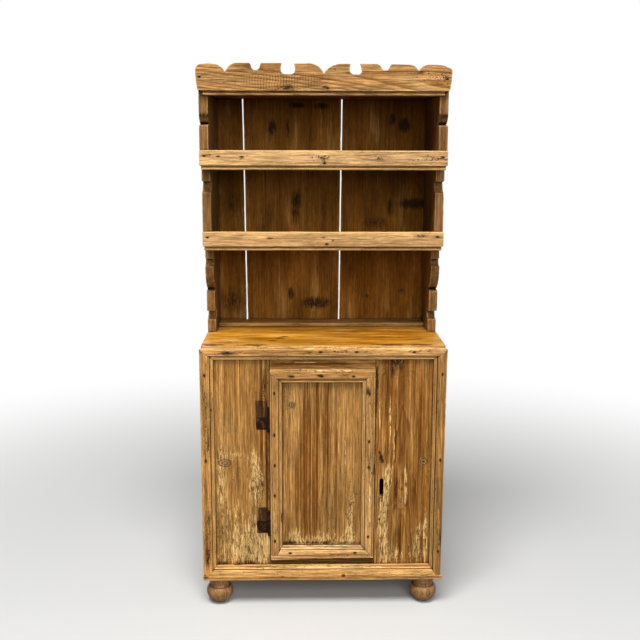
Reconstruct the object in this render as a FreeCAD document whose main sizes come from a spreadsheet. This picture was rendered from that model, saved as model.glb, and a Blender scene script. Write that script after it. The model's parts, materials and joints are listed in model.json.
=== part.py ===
import FreeCAD, Part
import math
import os
import re
import Sketcher

# Hutch cupboard: an open rack of two shelves on a one-door base, in millimetres.
# The front of the frame moulding is at depth 0 and the floor is at height 0.

SIZES = [
    ("carcass_width", 816, "base across its side boards"),
    ("frame_overhang", 5.5, "frame moulding past each side board"),
    ("rack_inset", 1, "rack's sides in from the base's sides"),
    ("base_height", 925, "floor to the top of the base"),
    ("foot_height", 95, "floor to the underside of the base"),
    ("side_depth", 401, "side boards, front to back"),
    ("side_thickness", 20, "base side boards"),
    ("front_thickness", 20, "fixed front boards"),
    ("frame_thickness", 18, "frame moulding"),
    ("frame_top_width", 45, "top frame member"),
    ("frame_side_width", 45.5, "side frame members"),
    ("frame_bottom_width", 55.5, "bottom frame member"),
    ("frame_side_wear", 5, "right frame member narrower at its foot"),
    ("corner_wear", 12, "rounded upper corners of the frame"),
    ("top_thickness", 26, "top board"),
    ("back_thickness", 16, "back planks"),
    ("plank_seam", 1, "seam between the planks of the base's back"),
    ("floor_thickness", 20, "floor board of the base"),
    ("shelf_thickness", 18, "shelves"),
    ("inner_shelf_lift", 369, "opening's foot to the underside of the inner shelf"),
    ("inner_shelf_play", 1, "inner shelf to each side board"),
    ("cleat_section", 22, "shelf cleats, square"),
    ("batten_width", 72, "battens that take the feet"),
    ("foot_inset_side", 50.5, "foot centres from the carcass sides, on average"),
    ("foot_shift", 3.5, "feet left of the cupboard's centre"),
    ("foot_inset_front", 52, "front foot centre from the frame's face"),
    ("foot_inset_back", 50, "back foot centre from the rear"),
    ("foot_radius", 46, "bun"),
    ("foot_tenon_radius", 11, "tenon in the batten"),
    ("foot_tenon_length", 25, "tenon in the batten"),
    ("door_width", 354, "door over its stiles"),
    ("door_shift", 3, "door centre left of the cupboard's centre"),
    ("door_side_gap", 2, "door to the fixed front boards"),
    ("door_end_gap", 2.5, "door to the frame's members"),
    ("door_stop_play", 0.4, "door's back to its stop"),
    ("door_strip_top", 31, "rail above the door's mouldings"),
    ("door_strip_bottom", 14.5, "rail below the door's mouldings"),
    ("door_left_width", 39.5, "left door moulding"),
    ("door_right_width", 43, "right door moulding"),
    ("door_top_width", 45.5, "top door moulding"),
    ("door_bottom_width", 52.5, "bottom door moulding"),
    ("door_bottom_wear", 9, "bottom door moulding narrower at its right end"),
    ("door_moulding_thickness", 14, "door mouldings"),
    ("panel_thickness", 8, "door panel"),
    ("panel_tongue", 8, "panel in the grooves of its frame"),
    ("panel_play", 1, "panel to the bottom of the side grooves"),
    ("panel_setback", 6, "frame's face to the panel's face"),
    ("stop_width", 22, "door stop"),
    ("stop_depth", 18, "door stop"),
    ("stop_cover", 12, "door stop past the fixed board"),
    ("slot_width", 14, "latch slot in the right front board"),
    ("slot_height", 63, "latch slot"),
    ("slot_edge", 17, "latch slot from the board's edge"),
    ("slot_lift", 243.5, "door's foot to the latch slot"),
    ("hinge_edge", 3.5, "hinge axis left of the fixed board's edge"),
    ("hinge_proud", 5, "hinge axis in front of the boards' face"),
    ("knuckle_radius", 4.5, "hinge knuckles"),
    ("hinge_pin_radius", 2, "hinge pins"),
    ("hinge_pin_play", 0.06, "door knuckle round its pin"),
    ("hinge_head_radius", 3.4, "pin head"),
    ("hinge_head_height", 2.5, "pin head"),
    ("hinge_height", 84, "both knuckles"),
    ("hinge_split", 50.5, "foot of the hinge to the joint of its knuckles"),
    ("hinge_split_gap", 0.3, "between the two knuckles"),
    ("leaf_width", 41, "fixed leaf from the axis"),
    ("leaf_thickness", 2.5, "fixed leaf"),
    ("leaf_proud", 1, "fixed leaf above the board's face"),
    ("leaf_lift", 8, "foot of the hinge to the fixed leaf"),
    ("leaf_height", 42, "fixed leaf"),
    ("edge_leaf_thickness", 1.6, "door leaf on the door's edge"),
    ("edge_leaf_front", 2, "door leaf in front of the axis"),
    ("edge_leaf_depth", 22, "door leaf behind the axis"),
    ("upper_hinge_drop", 250.5, "door's head to the foot of the upper hinge"),
    ("lower_hinge_lift", 105, "door's foot to the foot of the lower hinge"),
    ("old_recess_height", 40, "empty recess above the lower leaf"),
    ("rack_side_thickness", 30, "rack sides"),
    ("rack_setback", 67, "rack's sides behind the face of the front boards"),
    ("lower_bay_height", 316, "base's top to the underside of the lower shelf"),
    ("middle_bay_height", 271, "from there to the underside of the upper shelf"),
    ("upper_bay_height", 230, "from there to the underside of the roof board"),
    ("roof_thickness", 24, "roof board"),
    ("roof_cover", 46, "sides and back above the roof board"),
    ("rail_height", 63.5, "shelf rails"),
    ("rail_thickness", 18, "shelf rails"),
    ("rail_lip", 34, "rail above the shelf's top"),
    ("housing_depth", 6, "housings for the rack shelves"),
    ("lower_setback", 57, "lower shelf behind the upper one"),
    ("crest_overhang", 7, "crest board past each side of the rack"),
    ("crest_height", 101.5, "crest board"),
    ("crest_thickness", 20, "crest board"),
    ("crest_drop", 3.5, "crest board below the roof board"),
    ("bead_height", 8.5, "bead along the foot of a rail or crest"),
    ("quirk_height", 5.5, "groove above that bead"),
    ("bead_setback", 5, "bead behind the face"),
    ("quirk_depth", 10, "groove behind the face"),
    ("eased_edge", 4, "rounding of the rails' top edge"),
    ("left_plank_top", 119.5, "left plank of the rack's back, at its top"),
    ("left_plank_foot", 129, "left plank, at its foot"),
    ("right_plank_top", 331, "right plank of the rack's back, at its top"),
    ("right_plank_foot", 338.5, "right plank, at its foot"),
    ("rack_gap", 4, "width of those gaps"),
    ("foot_rail_thickness", 13, "strip along the rack's foot"),
    ("foot_rail_depth", 83, "strip along the rack's foot"),
    ("dowel_radius", 5, "dowels under the rack's sides"),
    ("dowel_depth", 15, "dowel in each board"),
    ("nail_shank_radius", 1.5, "nails"),
    ("nail_head_radius", 2.4, "nails"),
    ("nail_head_height", 1, "nails"),
    ("nail_hole_radius", 2.8, "sunk hole over the head"),
    ("nail_sink", 0.9, "head below the face"),
    ("nail_bite", 16, "nail in the board behind"),
    ("hinge_nail_bite", 12, "hinge nail in the board behind"),
]

document = FreeCAD.newDocument("hutch_cupboard")
sheet = document.addObject("Spreadsheet::Sheet", "Dims")
for row, (alias, size, note) in enumerate(SIZES, 1):
    sheet.set("A%d" % row, alias)
    sheet.set("B%d" % row, str(size))
    sheet.set("C%d" % row, note)
    sheet.setAlias("B%d" % row, alias)
document.recompute()

# Sizes that follow from the sheet, each written as a formula of its cells
FORMULAS = {}


def formula(text):
    """Replace the names of other formulas by their own text."""
    return re.sub(r"[a-z]\w*", lambda word: FORMULAS.get(word.group(0), word.group(0)), text)


def define(name, text):
    FORMULAS[name] = "(%s)" % formula(text)


ALIASES = {alias for alias, size, note in SIZES}


def cells(text):
    """A formula as an expression that reads the sheet's cells."""
    return re.sub(r"[a-z]\w*",
                  lambda word: "Dims." + word.group(0) if word.group(0) in ALIASES else word.group(0),
                  formula(text))


def number(text):
    return float(sheet.evalExpression(formula(text)))


define("frame_width", "carcass_width + 2 * frame_overhang")
define("rack_width", "carcass_width - 2 * rack_inset")
define("crest_width", "rack_width + 2 * crest_overhang")
define("face_y", "frame_thickness")
define("side_y", "face_y + front_thickness")
define("back_y", "side_y + side_depth")
define("total_depth", "back_y + back_thickness")
define("half_carcass", "carcass_width / 2")
define("half_rack", "rack_width / 2")
define("inner_side_x", "half_carcass - side_thickness")
define("top_underside", "base_height - top_thickness")
define("opening_foot", "foot_height + frame_bottom_width")
define("opening_head", "base_height - frame_top_width")
define("floor_underside", "opening_foot - floor_thickness")
define("door_left", "- door_shift - door_width / 2")
define("door_right", "door_width / 2 - door_shift")
define("seam_left", "door_left - door_side_gap")
define("seam_right", "door_right + door_side_gap")
define("door_foot", "opening_foot + door_end_gap")
define("door_head", "opening_head - door_end_gap")
define("door_thickness", "front_thickness - door_stop_play")
define("panel_y", "face_y + panel_setback")
define("panel_left", "door_left + door_left_width")
define("panel_right", "door_right - door_right_width")
define("panel_foot", "door_foot + door_strip_bottom + door_bottom_width")
define("panel_head", "door_head - door_strip_top - door_top_width")
define("inner_shelf_z", "opening_foot + inner_shelf_lift")
define("upper_hinge_z", "door_head - upper_hinge_drop")
define("lower_hinge_z", "door_foot + lower_hinge_lift")
define("slot_z", "door_foot + slot_lift")
define("rack_y", "face_y + rack_setback")
define("rack_depth", "back_y - rack_y")
define("lower_y", "rack_y + lower_setback")
define("inner_rack_x", "half_rack - rack_side_thickness")
define("lower_shelf_z", "base_height + lower_bay_height")
define("upper_shelf_z", "lower_shelf_z + middle_bay_height")
define("roof_z", "upper_shelf_z + upper_bay_height")
define("rack_top_z", "roof_z + roof_thickness + roof_cover")
define("lower_rail_z", "lower_shelf_z + shelf_thickness + rail_lip - rail_height")
define("upper_rail_z", "upper_shelf_z + shelf_thickness + rail_lip - rail_height")
define("crest_z", "roof_z - crest_drop")
define("axis_x", "seam_left - hinge_edge")
define("axis_y", "face_y - hinge_proud")
define("half_crest", "crest_width / 2")
define("foot_left_x", "foot_inset_side - half_carcass - foot_shift")
define("foot_right_x", "half_carcass - foot_inset_side - foot_shift")
define("back_foot_y", "total_depth - foot_inset_back")

NOTHING = 1e-9
parts = []
corner = {}


def new_body(name, x, y, z):
    """A body whose own origin lies at x, y and z of the cupboard."""
    body = document.addObject("PartDesign::Body", name)
    body.Label = name
    place(body, x, y, z)
    parts.append(body)
    return body


def place(body, x, y, z):
    corner[body.Label] = (x, y, z)
    body.setExpression(".Placement.Base.x", cells(x))
    body.setExpression(".Placement.Base.y", cells("%s - total_depth / 2" % y))
    body.setExpression(".Placement.Base.z", cells(z))


def new_sketch(body, role, lift=None):
    """A sketch on one of the body's own origin planes, or lifted off it."""
    sketch = body.newObject("Sketcher::SketchObject", body.Label + "_sketch")
    plane = [item for item in body.Origin.OriginFeatures if item.Role == role][0]
    sketch.AttachmentSupport = [(plane, "")]
    sketch.MapMode = "FlatFace"
    if lift:
        sketch.setExpression(".AttachmentOffset.Base.z", cells(lift))
    return sketch


def pin_one(sketch, edge, end, kind, text):
    """Bind one coordinate of a point of the sketch to a formula."""
    value = number(text)
    if abs(value) < NOTHING:
        axis = -2 if kind == "DistanceX" else -1
        sketch.addConstraint(Sketcher.Constraint("PointOnObject", edge, end, axis))
    elif value > 0:
        index = sketch.addConstraint(Sketcher.Constraint(kind, -1, 1, edge, end, value))
        sketch.setExpression("Constraints[%d]" % index, cells(text))
    else:
        index = sketch.addConstraint(Sketcher.Constraint(kind, edge, end, -1, 1, -value))
        sketch.setExpression("Constraints[%d]" % index, cells("-(%s)" % text))


def pin(sketch, edge, end, x, y):
    pin_one(sketch, edge, end, "DistanceX", x)
    pin_one(sketch, edge, end, "DistanceY", y)


def outline(sketch, corners):
    """A closed outline of lines, or of arcs where a corner has a bulge.

    A bulge is the arc's height over its chord, to the left of its direction.
    """
    edges = []
    for index, here in enumerate(corners):
        there = corners[(index + 1) % len(corners)]
        first = FreeCAD.Vector(number(here[0]), number(here[1]), 0)
        second = FreeCAD.Vector(number(there[0]), number(there[1]), 0)
        chord = second - first
        if len(here) > 2:
            bulge = here[2]
            middle = (first + second) * 0.5 + FreeCAD.Vector(-chord.y, chord.x, 0) * bulge
            edge = sketch.addGeometry(Part.Arc(first, middle, second))
            lean = (1 - 4 * bulge ** 2) / (8 * bulge)
            if abs(chord.x) > abs(chord.y):
                centre = ("DistanceY", "((%s) + (%s)) / 2 - ((%s) - (%s)) * %.9f" % (
                    here[1], there[1], there[0], here[0], lean))
            else:
                centre = ("DistanceX", "((%s) + (%s)) / 2 + ((%s) - (%s)) * %.9f" % (
                    here[0], there[0], there[1], here[1], lean))
            pin_one(sketch, edge, 3, *centre)
        else:
            edge = sketch.addGeometry(Part.LineSegment(first, second))
        forward = (sketch.getPoint(edge, 1) - first).Length < (sketch.getPoint(edge, 2) - first).Length
        edges.append((edge, 1, 2) if forward else (edge, 2, 1))
    for index, (edge, start, end) in enumerate(edges):
        other, other_start, other_end = edges[(index + 1) % len(edges)]
        sketch.addConstraint(Sketcher.Constraint("Coincident", edge, end, other, other_start))
        pin(sketch, edge, start, corners[index][0], corners[index][1])


def rectangle(sketch, x, y, width, height):
    right = "(%s) + (%s)" % (x, width)
    top = "(%s) + (%s)" % (y, height)
    outline(sketch, [(x, y), (right, y), (right, top), (x, top)])


def circle(sketch, x, y, radius):
    centre = FreeCAD.Vector(number(x), number(y), 0)
    edge = sketch.addGeometry(Part.Circle(centre, FreeCAD.Vector(0, 0, 1), number(radius)))
    bound = sketch.addConstraint(Sketcher.Constraint("Radius", edge, number(radius)))
    sketch.setExpression("Constraints[%d]" % bound, cells(radius))
    pin(sketch, edge, 3, x, y)


def pad(body, sketch, length, reverse=False):
    feature = body.newObject("PartDesign::Pad", body.Label + "_pad")
    feature.Profile = sketch
    feature.Reversed = reverse
    feature.setExpression("Length", cells(length))
    document.recompute()
    return feature


def pocket(body, sketch, depth=None, reverse=False):
    """Cut along a sketch, and stop where the cut takes nothing away."""
    before = body.Shape.Volume
    feature = body.newObject("PartDesign::Pocket", body.Label + "_pocket")
    feature.Profile = sketch
    feature.Reversed = reverse
    if depth:
        feature.setExpression("Length", cells(depth))
    else:
        feature.Type = "ThroughAll"
        feature.Midplane = True
    document.recompute()
    if body.Shape.Volume >= before:
        raise RuntimeError("nothing cut from " + body.Label)
    return feature


def board(name, x, y, z, width, depth, height):
    """A plain board between its lower left front corner and its sizes."""
    body = new_body(name, x, y, z)
    sketch = new_sketch(body, "XZ_Plane")
    rectangle(sketch, "0", "0", width, height)
    pad(body, sketch, depth, reverse=True)
    return body


def drill(body, spots, radius, depth):
    """Round holes into the body's front, at places of the cupboard's front view."""
    x, y, z = corner[body.Label]
    sketch = new_sketch(body, "XZ_Plane")
    for spot_x, spot_z in spots:
        circle(sketch, "(%s) - (%s)" % (spot_x, x), "(%s) - (%s)" % (spot_z, z), radius)
    pocket(body, sketch, depth)


# Base: two sides, top, floor, shelf, battens, fixed front and back

def make_base():
    depth = "side_depth"
    for name, x in (("left", "-half_carcass"), ("right", "inner_side_x")):
        board("base_side_" + name, x, "side_y", "foot_height",
              "side_thickness", depth, "top_underside - foot_height")
    board("base_top", "-half_carcass", "face_y", "top_underside",
          "carcass_width", "total_depth - face_y", "top_thickness")
    board("base_floor", "-inner_side_x", "side_y", "floor_underside",
          "2 * inner_side_x", depth, "floor_thickness")
    board("inner_shelf", "inner_shelf_play - inner_side_x", "side_y + stop_depth", "inner_shelf_z",
          "2 * (inner_side_x - inner_shelf_play)", "back_y - side_y - stop_depth", "shelf_thickness")
    for name, x in (("left", "-inner_side_x"), ("right", "inner_side_x - cleat_section")):
        board("shelf_cleat_" + name, x, "side_y", "inner_shelf_z - cleat_section",
              "cleat_section", depth, "cleat_section")
    for name, x in (("left", "-inner_side_x"), ("right", "inner_side_x - batten_width")):
        batten = board("foot_batten_" + name, x, "side_y", "foot_height",
                       "batten_width", depth, "floor_underside - foot_height")
        sketch = new_sketch(batten, "XY_Plane")
        side = "foot_%s_x" % name
        for foot_y in ("foot_inset_front", "back_foot_y"):
            circle(sketch, "(%s) - (%s)" % (side, x), "%s - side_y" % foot_y, "foot_tenon_radius")
        pocket(batten, sketch, "foot_tenon_length", reverse=True)


def make_front():
    height = "top_underside - foot_height"
    board("front_board_left", "-half_carcass", "face_y", "foot_height",
          "seam_left + half_carcass", "front_thickness", height)
    right = board("front_board_right", "seam_right", "face_y", "foot_height",
                  "half_carcass - seam_right", "front_thickness", height)
    sketch = new_sketch(right, "XZ_Plane")
    low = "slot_z - foot_height + slot_width / 2"
    high = "slot_z - foot_height + slot_height - slot_width / 2"
    far = "slot_edge + slot_width"
    outline(sketch, [("slot_edge", low, -0.5), (far, low), (far, high, -0.5), ("slot_edge", high)])
    pocket(right, sketch)
    board("front_head_rail", "seam_left", "face_y", "opening_head",
          "seam_right - seam_left", "front_thickness", "top_underside - opening_head")
    board("front_sill_rail", "seam_left", "face_y", "foot_height",
          "seam_right - seam_left", "front_thickness", "frame_bottom_width")
    board("door_stop", "seam_right - stop_cover", "side_y", "opening_foot",
          "stop_width", "stop_depth", "opening_head - opening_foot")


def make_base_back():
    width = "(carcass_width - 2 * plank_seam) / 3"
    for index, name in enumerate(("left", "middle", "right")):
        board("base_back_plank_" + name, "-half_carcass + %d * (%s + plank_seam)" % (index, width),
              "back_y", "foot_height", width, "back_thickness", "top_underside - foot_height")


# Feet: a turned bun under a collar, with a tenon in the batten

# Profile of a foot from the floor up: shares of the bun's radius and of the foot's height
FOOT_SHARES = [
    (0.30, 0.0, -0.1625), (1.0, 0.463, -0.067), (0.92, 0.60, -0.22), (0.74, 0.625), (0.72, 0.72, 0.2),
    (0.79, 0.79), (0.79, 1.0)]


def make_foot(name, x, y):
    body = new_body(name, x, y, "0")
    sketch = new_sketch(body, "XZ_Plane")
    crown = "foot_height + foot_tenon_length"
    corners = [("0", "0")]
    for share in FOOT_SHARES:
        corners.append(("foot_radius * %g" % share[0], "foot_height * %g" % share[1]) + share[2:])
    corners += [("foot_tenon_radius", "foot_height"), ("foot_tenon_radius", crown), ("0", crown)]
    outline(sketch, corners)
    turn = body.newObject("PartDesign::Revolution", name + "_turn")
    turn.Profile = sketch
    turn.ReferenceAxis = (sketch, ["V_Axis"])
    turn.Angle = 360
    document.recompute()


def make_feet():
    for side in ("left", "right"):
        make_foot("foot_front_" + side, "foot_%s_x" % side, "foot_inset_front")
        make_foot("foot_back_" + side, "foot_%s_x" % side, "back_foot_y")


# Mitred mouldings: a rounded outer edge, a quirk and a bead at the inner edge

# Section of a moulding: shares of its thickness from the front and of its width from the outer edge
INNER_SHARES = [(0.0, 0.715), (0.5, 0.725), (0.5, 0.76), (0.3, 0.765, -0.25), (0.3, 1.0), (1.0, 1.0)]
FRAME_SHARES = [(1.0, 0.0), (0.33, 0.0, -0.2), (0.0, 0.25)] + INNER_SHARES
DOOR_SHARES = [(1.0, 0.0), (0.4, 0.0, -0.22), (0.0, 0.16)] + INNER_SHARES

# Where the line of a mitre starts: shares of the upright's width and of the level member's width
FRAME_MITRES = {"top_left": (0.0, 0.29), "top_right": (0.0, 0.33),
                "bottom_left": (0.46, 0.35), "bottom_right": (0.46, 0.32)}
DOOR_MITRES = {"top_left": (0.0, 0.33), "top_right": (0.0, 0.22),
               "bottom_left": (0.58, 0.39), "bottom_right": (0.06, 0.24)}
MITRE_SHARE = 1.1


def mitre_line(start, upright_width, level_width):
    """Start of a mitre and a point past the inner corner, from the outer corner."""
    beyond = [MITRE_SHARE * (1 - share) + share for share in start]
    return ("%s * %g" % (upright_width, start[0]), "%s * %g" % (level_width, start[1]),
            "%s * %g" % (upright_width, beyond[0]), "%s * %g" % (level_width, beyond[1]))


def level_cut(start, upright_width, level_width):
    """What a mitre takes off the end of a level member."""
    x, z, far_x, far_z = mitre_line(start, upright_width, level_width)
    corners = [("0", z), (x, z), (far_x, far_z), ("0", far_z)]
    return corners if start[0] else corners[1:]


def upright_cut(start, upright_width, level_width):
    """What the same mitre takes off the end of the upright."""
    x, z, far_x, far_z = mitre_line(start, upright_width, level_width)
    corners = [("0", "0"), (z, "0"), (z, x), (far_z, far_x), ("0", far_x)]
    return corners if start[0] else corners[:2] + corners[3:]


def make_moulding(name, place_at, turn, length, width, thickness, shares, cuts):
    """A moulding along its own x axis, outer edge down, turned about y into its place."""
    body = new_body(name, *place_at)
    body.setExpression(".Placement.Rotation.Axis.y", "1")
    body.setExpression(".Placement.Rotation.Axis.z", "0")
    body.setExpression(".Placement.Rotation.Angle", "%g" % turn)
    sketch = new_sketch(body, "YZ_Plane")
    section = []
    for share in shares:
        section.append(("%s * %g" % (thickness, share[0]), "%s * %g" % (width, share[1])) + share[2:])
    outline(sketch, section)
    pad(body, sketch, length)
    mitres = new_sketch(body, "XZ_Plane")
    outline(mitres, cuts[0])
    outline(mitres, [("(%s) - (%s)" % (length, x), z) for x, z in cuts[1]])
    pocket(body, mitres)
    return body


def make_frame(prefix, left, right, foot, head, y, thickness, widths, shares, mitres):
    """Four mouldings round a rectangle, mitred into each other."""
    across = "(%s) - (%s)" % (right, left)
    upright = "(%s) - (%s)" % (head, foot)
    members = {
        "top": ((right, y, head), 180, across, "top_right", "top_left"),
        "bottom": ((left, y, foot), 0, across, "bottom_left", "bottom_right"),
        "left": ((left, y, head), 90, upright, "top_left", "bottom_left"),
        "right": ((right, y, foot), -90, upright, "bottom_right", "top_right"),
    }
    made = {}
    for side, (place_at, turn, length, start, end) in members.items():
        cut = level_cut if side in ("top", "bottom") else upright_cut
        cuts = []
        for name in (start, end):
            level, stands = name.split("_")
            cuts.append(cut(mitres[name], widths[stands], widths[level]))
        made[side] = make_moulding(prefix + "_" + side, place_at, turn, length, widths[side],
                                   thickness, shares, cuts)
    return made


def wear(body, areas):
    """Worn-off edges of a moulding, as outlines on its own front."""
    sketch = new_sketch(body, "XZ_Plane")
    for area in areas:
        outline(sketch, area)
    pocket(body, sketch)


def drill_moulding(body, turn, spots, radius, depth):
    """Holes into a turned moulding, given in the cupboard's front view."""
    x, y, z = corner[body.Label]
    sketch = new_sketch(body, "XZ_Plane")
    for spot_x, spot_z in spots:
        right = "((%s) - (%s))" % (spot_x, x)
        up = "((%s) - (%s))" % (spot_z, z)
        local = {0: (right, up), 180: ("-" + right, "-" + up), 90: ("-" + up, right), -90: (up, "-" + right)}
        circle(sketch, local[turn][0], local[turn][1], radius)
    pocket(body, sketch, depth)


# Door: stiles and rails round a panel, with mitred mouldings nailed on

def make_rail(name, foot, height, groove_z):
    rail = board(name, "door_left", "face_y", foot, "door_width", "door_thickness", height)
    sketch = new_sketch(rail, "YZ_Plane")
    rectangle(sketch, "panel_setback", groove_z, "panel_thickness", "panel_tongue")
    pocket(rail, sketch)
    return rail


def make_stile(name, x, width, groove_x):
    """A stile with a groove for the panel and stub tenons in the rails."""
    between = "panel_head - panel_foot"
    stile = board(name, x, "face_y", "panel_foot", width, "door_thickness", between)
    groove = new_sketch(stile, "XY_Plane")
    rectangle(groove, groove_x, "panel_setback", "panel_tongue", "panel_thickness")
    pocket(stile, groove)
    for lift, reverse in ((between, False), (None, True)):
        tenon = new_sketch(stile, "XY_Plane", lift)
        tenon_x = "panel_tongue" if groove_x == "0" else "0"
        rectangle(tenon, tenon_x, "panel_setback", "%s - panel_tongue" % width, "panel_thickness")
        pad(stile, tenon, "panel_tongue", reverse)
    return stile


def make_door():
    rails = {
        "top": make_rail("door_rail_top", "panel_head", "door_head - panel_head", "0"),
        "bottom": make_rail("door_rail_bottom", "door_foot", "panel_foot - door_foot",
                            "panel_foot - door_foot - panel_tongue"),
    }
    stiles = {
        "left": make_stile("door_stile_left", "door_left", "door_left_width",
                           "door_left_width - panel_tongue"),
        "right": make_stile("door_stile_right", "panel_right", "door_right_width", "0"),
    }
    board("door_panel", "panel_left - panel_tongue + panel_play", "panel_y", "panel_foot - panel_tongue",
          "panel_right - panel_left + 2 * (panel_tongue - panel_play)", "panel_thickness",
          "panel_head - panel_foot + 2 * panel_tongue - panel_play")
    widths = {side: "door_%s_width" % side for side in ("left", "right", "top", "bottom")}
    mouldings = make_frame("door_moulding", "door_left", "door_right", "door_foot + door_strip_bottom",
                           "door_head - door_strip_top", "face_y - door_moulding_thickness",
                           "door_moulding_thickness", widths, DOOR_SHARES, DOOR_MITRES)
    wear(mouldings["bottom"], [[("0", "0"), ("door_width", "0"), ("door_width", "door_bottom_wear")]])
    return rails, stiles, mouldings


# Rack: shaped sides, roof, two shelves with rails, scalloped crest and back planks

# Front edge of a side in each bay: shares of the rack's depth and of the bay's height, from its top
UPPER_BAY_SHARES = [(0.0, 1.0), (0.0, 0.80, -0.22), (0.125, 0.595), (0.0, 0.575), (0.0, 0.0)]
MIDDLE_BAY_SHARES = [(0.145, 1.0), (0.145, 0.815), (0.272, 0.80, 0.2), (0.162, 0.675)]
LOWER_BAY_SHARES = [
    (0.357, 1.0), (0.357, 0.845), (0.417, 0.838, 0.15), (0.328, 0.765, -0.16), (0.523, 0.488),
    (0.428, 0.475, -0.06), (0.437, 0.247), (0.600, 0.234, 0.18), (0.484, 0.142), (0.489, 0.0)]


def bay_corners(shares, foot, head):
    corners = []
    for share in shares:
        z = "(%s) + ((%s) - (%s)) * %g" % (foot, head, foot, share[1])
        corners.append(("rack_depth * %g" % share[0], z) + share[2:])
    return corners


def make_rack_side(name, x, inner_x):
    body = new_body(name, x, "rack_y", "base_height")
    sketch = new_sketch(body, "YZ_Plane")
    upper = "upper_shelf_z - base_height"
    lower = "lower_shelf_z - base_height"
    roof = "roof_z - base_height"
    top = "rack_top_z - base_height"
    corners = [("rack_depth", "0"), ("rack_depth", top), ("0", top)]
    corners += bay_corners(UPPER_BAY_SHARES, upper, roof)[1:]
    corners += bay_corners(MIDDLE_BAY_SHARES, lower, upper)
    corners += [("lower_setback", lower)]
    corners += bay_corners(LOWER_BAY_SHARES, "0", lower)
    outline(sketch, corners)
    pad(body, sketch, "rack_side_thickness")
    housings = new_sketch(body, "YZ_Plane", inner_x)
    rectangle(housings, "0", upper, "rack_depth", "shelf_thickness")
    rectangle(housings, "lower_setback", lower, "rack_depth - lower_setback", "shelf_thickness")
    rectangle(housings, "0", roof, "rack_depth", "roof_thickness")
    pocket(body, housings, "housing_depth", reverse=inner_x == "0")
    dowels = new_sketch(body, "XY_Plane")
    for dowel_y in dowel_places():
        circle(dowels, "rack_side_thickness / 2", "(%s) - rack_y" % dowel_y, "dowel_radius")
    pocket(body, dowels, "dowel_depth", reverse=True)
    return body


DOWEL_SHARES = (0.62, 0.88)


def dowel_places():
    return ["rack_y + rack_depth * %g" % share for share in DOWEL_SHARES]


def lipped(body, height, eased):
    """A quirk and a set-back bead along the foot of a board, and an eased top edge."""
    sketch = new_sketch(body, "YZ_Plane")
    top = "bead_height + quirk_height"
    bead_y = "bead_setback + bead_height / 2"
    beyond = "-eased_edge"
    outline(sketch, [
        (beyond, beyond), (bead_y, beyond), (bead_y, "0", 0.4), (bead_y, "bead_height"),
        ("quirk_depth", "bead_height"), ("quirk_depth", top), (beyond, top)])
    pocket(body, sketch)
    if eased:
        edge = new_sketch(body, "YZ_Plane")
        outline(edge, [("0", "%s - eased_edge" % height, -0.2), ("eased_edge", height),
                       ("eased_edge", "%s + eased_edge" % height), (beyond, "%s + eased_edge" % height),
                       (beyond, "%s - eased_edge" % height)])
        pocket(body, edge)


def make_shelf_rail(name, y, z):
    """A rail that stands above its shelf; its bead is a little shorter than its face."""
    body = new_body(name, "-half_rack", y, z)
    sketch = new_sketch(body, "XZ_Plane")
    shoulder = "bead_height + quirk_height"
    inset = "bead_setback"
    outline(sketch, [(inset, "0"), ("rack_width - %s" % inset, "0"), ("rack_width - %s" % inset, shoulder),
                     ("rack_width", shoulder), ("rack_width", "rail_height"), ("0", "rail_height"),
                     ("0", shoulder), (inset, shoulder)])
    pad(body, sketch, "rail_thickness", reverse=True)
    lipped(body, "rail_height", True)
    return body


# Crest outline, clockwise from its lower left: shares of its width and height
CREST_SHARES = [
    (0.026, 0.0), (0.026, 0.135), (0.008, 0.15), (0.002, 0.45), (0.0, 0.80, 0.18), (0.026, 0.962, 0.04),
    (0.068, 0.972, 0.14), (0.115, 0.725, 0.17), (0.165, 0.995), (0.211, 1.0),
    (0.216, 0.92, -0.5), (0.250, 0.92), (0.254, 1.0), (0.335, 0.995, -0.06),
    (0.331, 0.80, -0.2), (0.347, 0.66), (0.370, 0.655, -0.2), (0.3865, 0.80, -0.06),
    (0.3825, 0.99), (0.430, 0.99, 0.17), (0.4985, 0.685, 0.12), (0.565, 0.982),
    (0.603, 0.985, -0.06), (0.600, 0.80, -0.2), (0.613, 0.66), (0.635, 0.655, -0.2), (0.6465, 0.79, -0.06),
    (0.640, 0.985), (0.708, 0.98), (0.721, 0.91, -0.42), (0.7555, 0.905),
    (0.762, 0.975), (0.824, 0.965, 0.17), (0.867, 0.765, 0.15), (0.915, 0.962), (0.948, 0.962, 0.05),
    (0.993, 0.845, 0.1), (1.0, 0.77), (0.998, 0.45), (0.992, 0.15), (0.974, 0.135), (0.974, 0.0)]


def make_crest():
    body = new_body("crest_board", "-half_crest", "rack_y - crest_thickness", "crest_z")
    sketch = new_sketch(body, "XZ_Plane")
    corners = []
    for share in CREST_SHARES:
        corners.append(("crest_width * %g" % share[0], "crest_height * %g" % share[1]) + share[2:])
    outline(sketch, corners)
    pad(body, sketch, "crest_thickness", reverse=True)
    lipped(body, "crest_height", False)
    return body


def make_rack_back():
    """Three upright planks, whose gaps lean a little as the planks taper."""
    top = "rack_top_z - base_height"
    left = ["left_plank_foot - half_rack", "left_plank_top - half_rack"]
    right = ["half_rack - right_plank_foot", "half_rack - right_plank_top"]
    edges = {
        "left": (["-half_rack", "-half_rack"], left),
        "middle": (["%s + rack_gap" % edge for edge in left], ["%s - rack_gap" % edge for edge in right]),
        "right": (right, ["half_rack", "half_rack"]),
    }
    for name, (low_side, high_side) in edges.items():
        body = new_body("rack_back_plank_" + name, "0", "back_y", "base_height")
        sketch = new_sketch(body, "XZ_Plane")
        outline(sketch, [(low_side[0], "0"), (high_side[0], "0"), (high_side[1], top), (low_side[1], top)])
        pad(body, sketch, "back_thickness", reverse=True)


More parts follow.
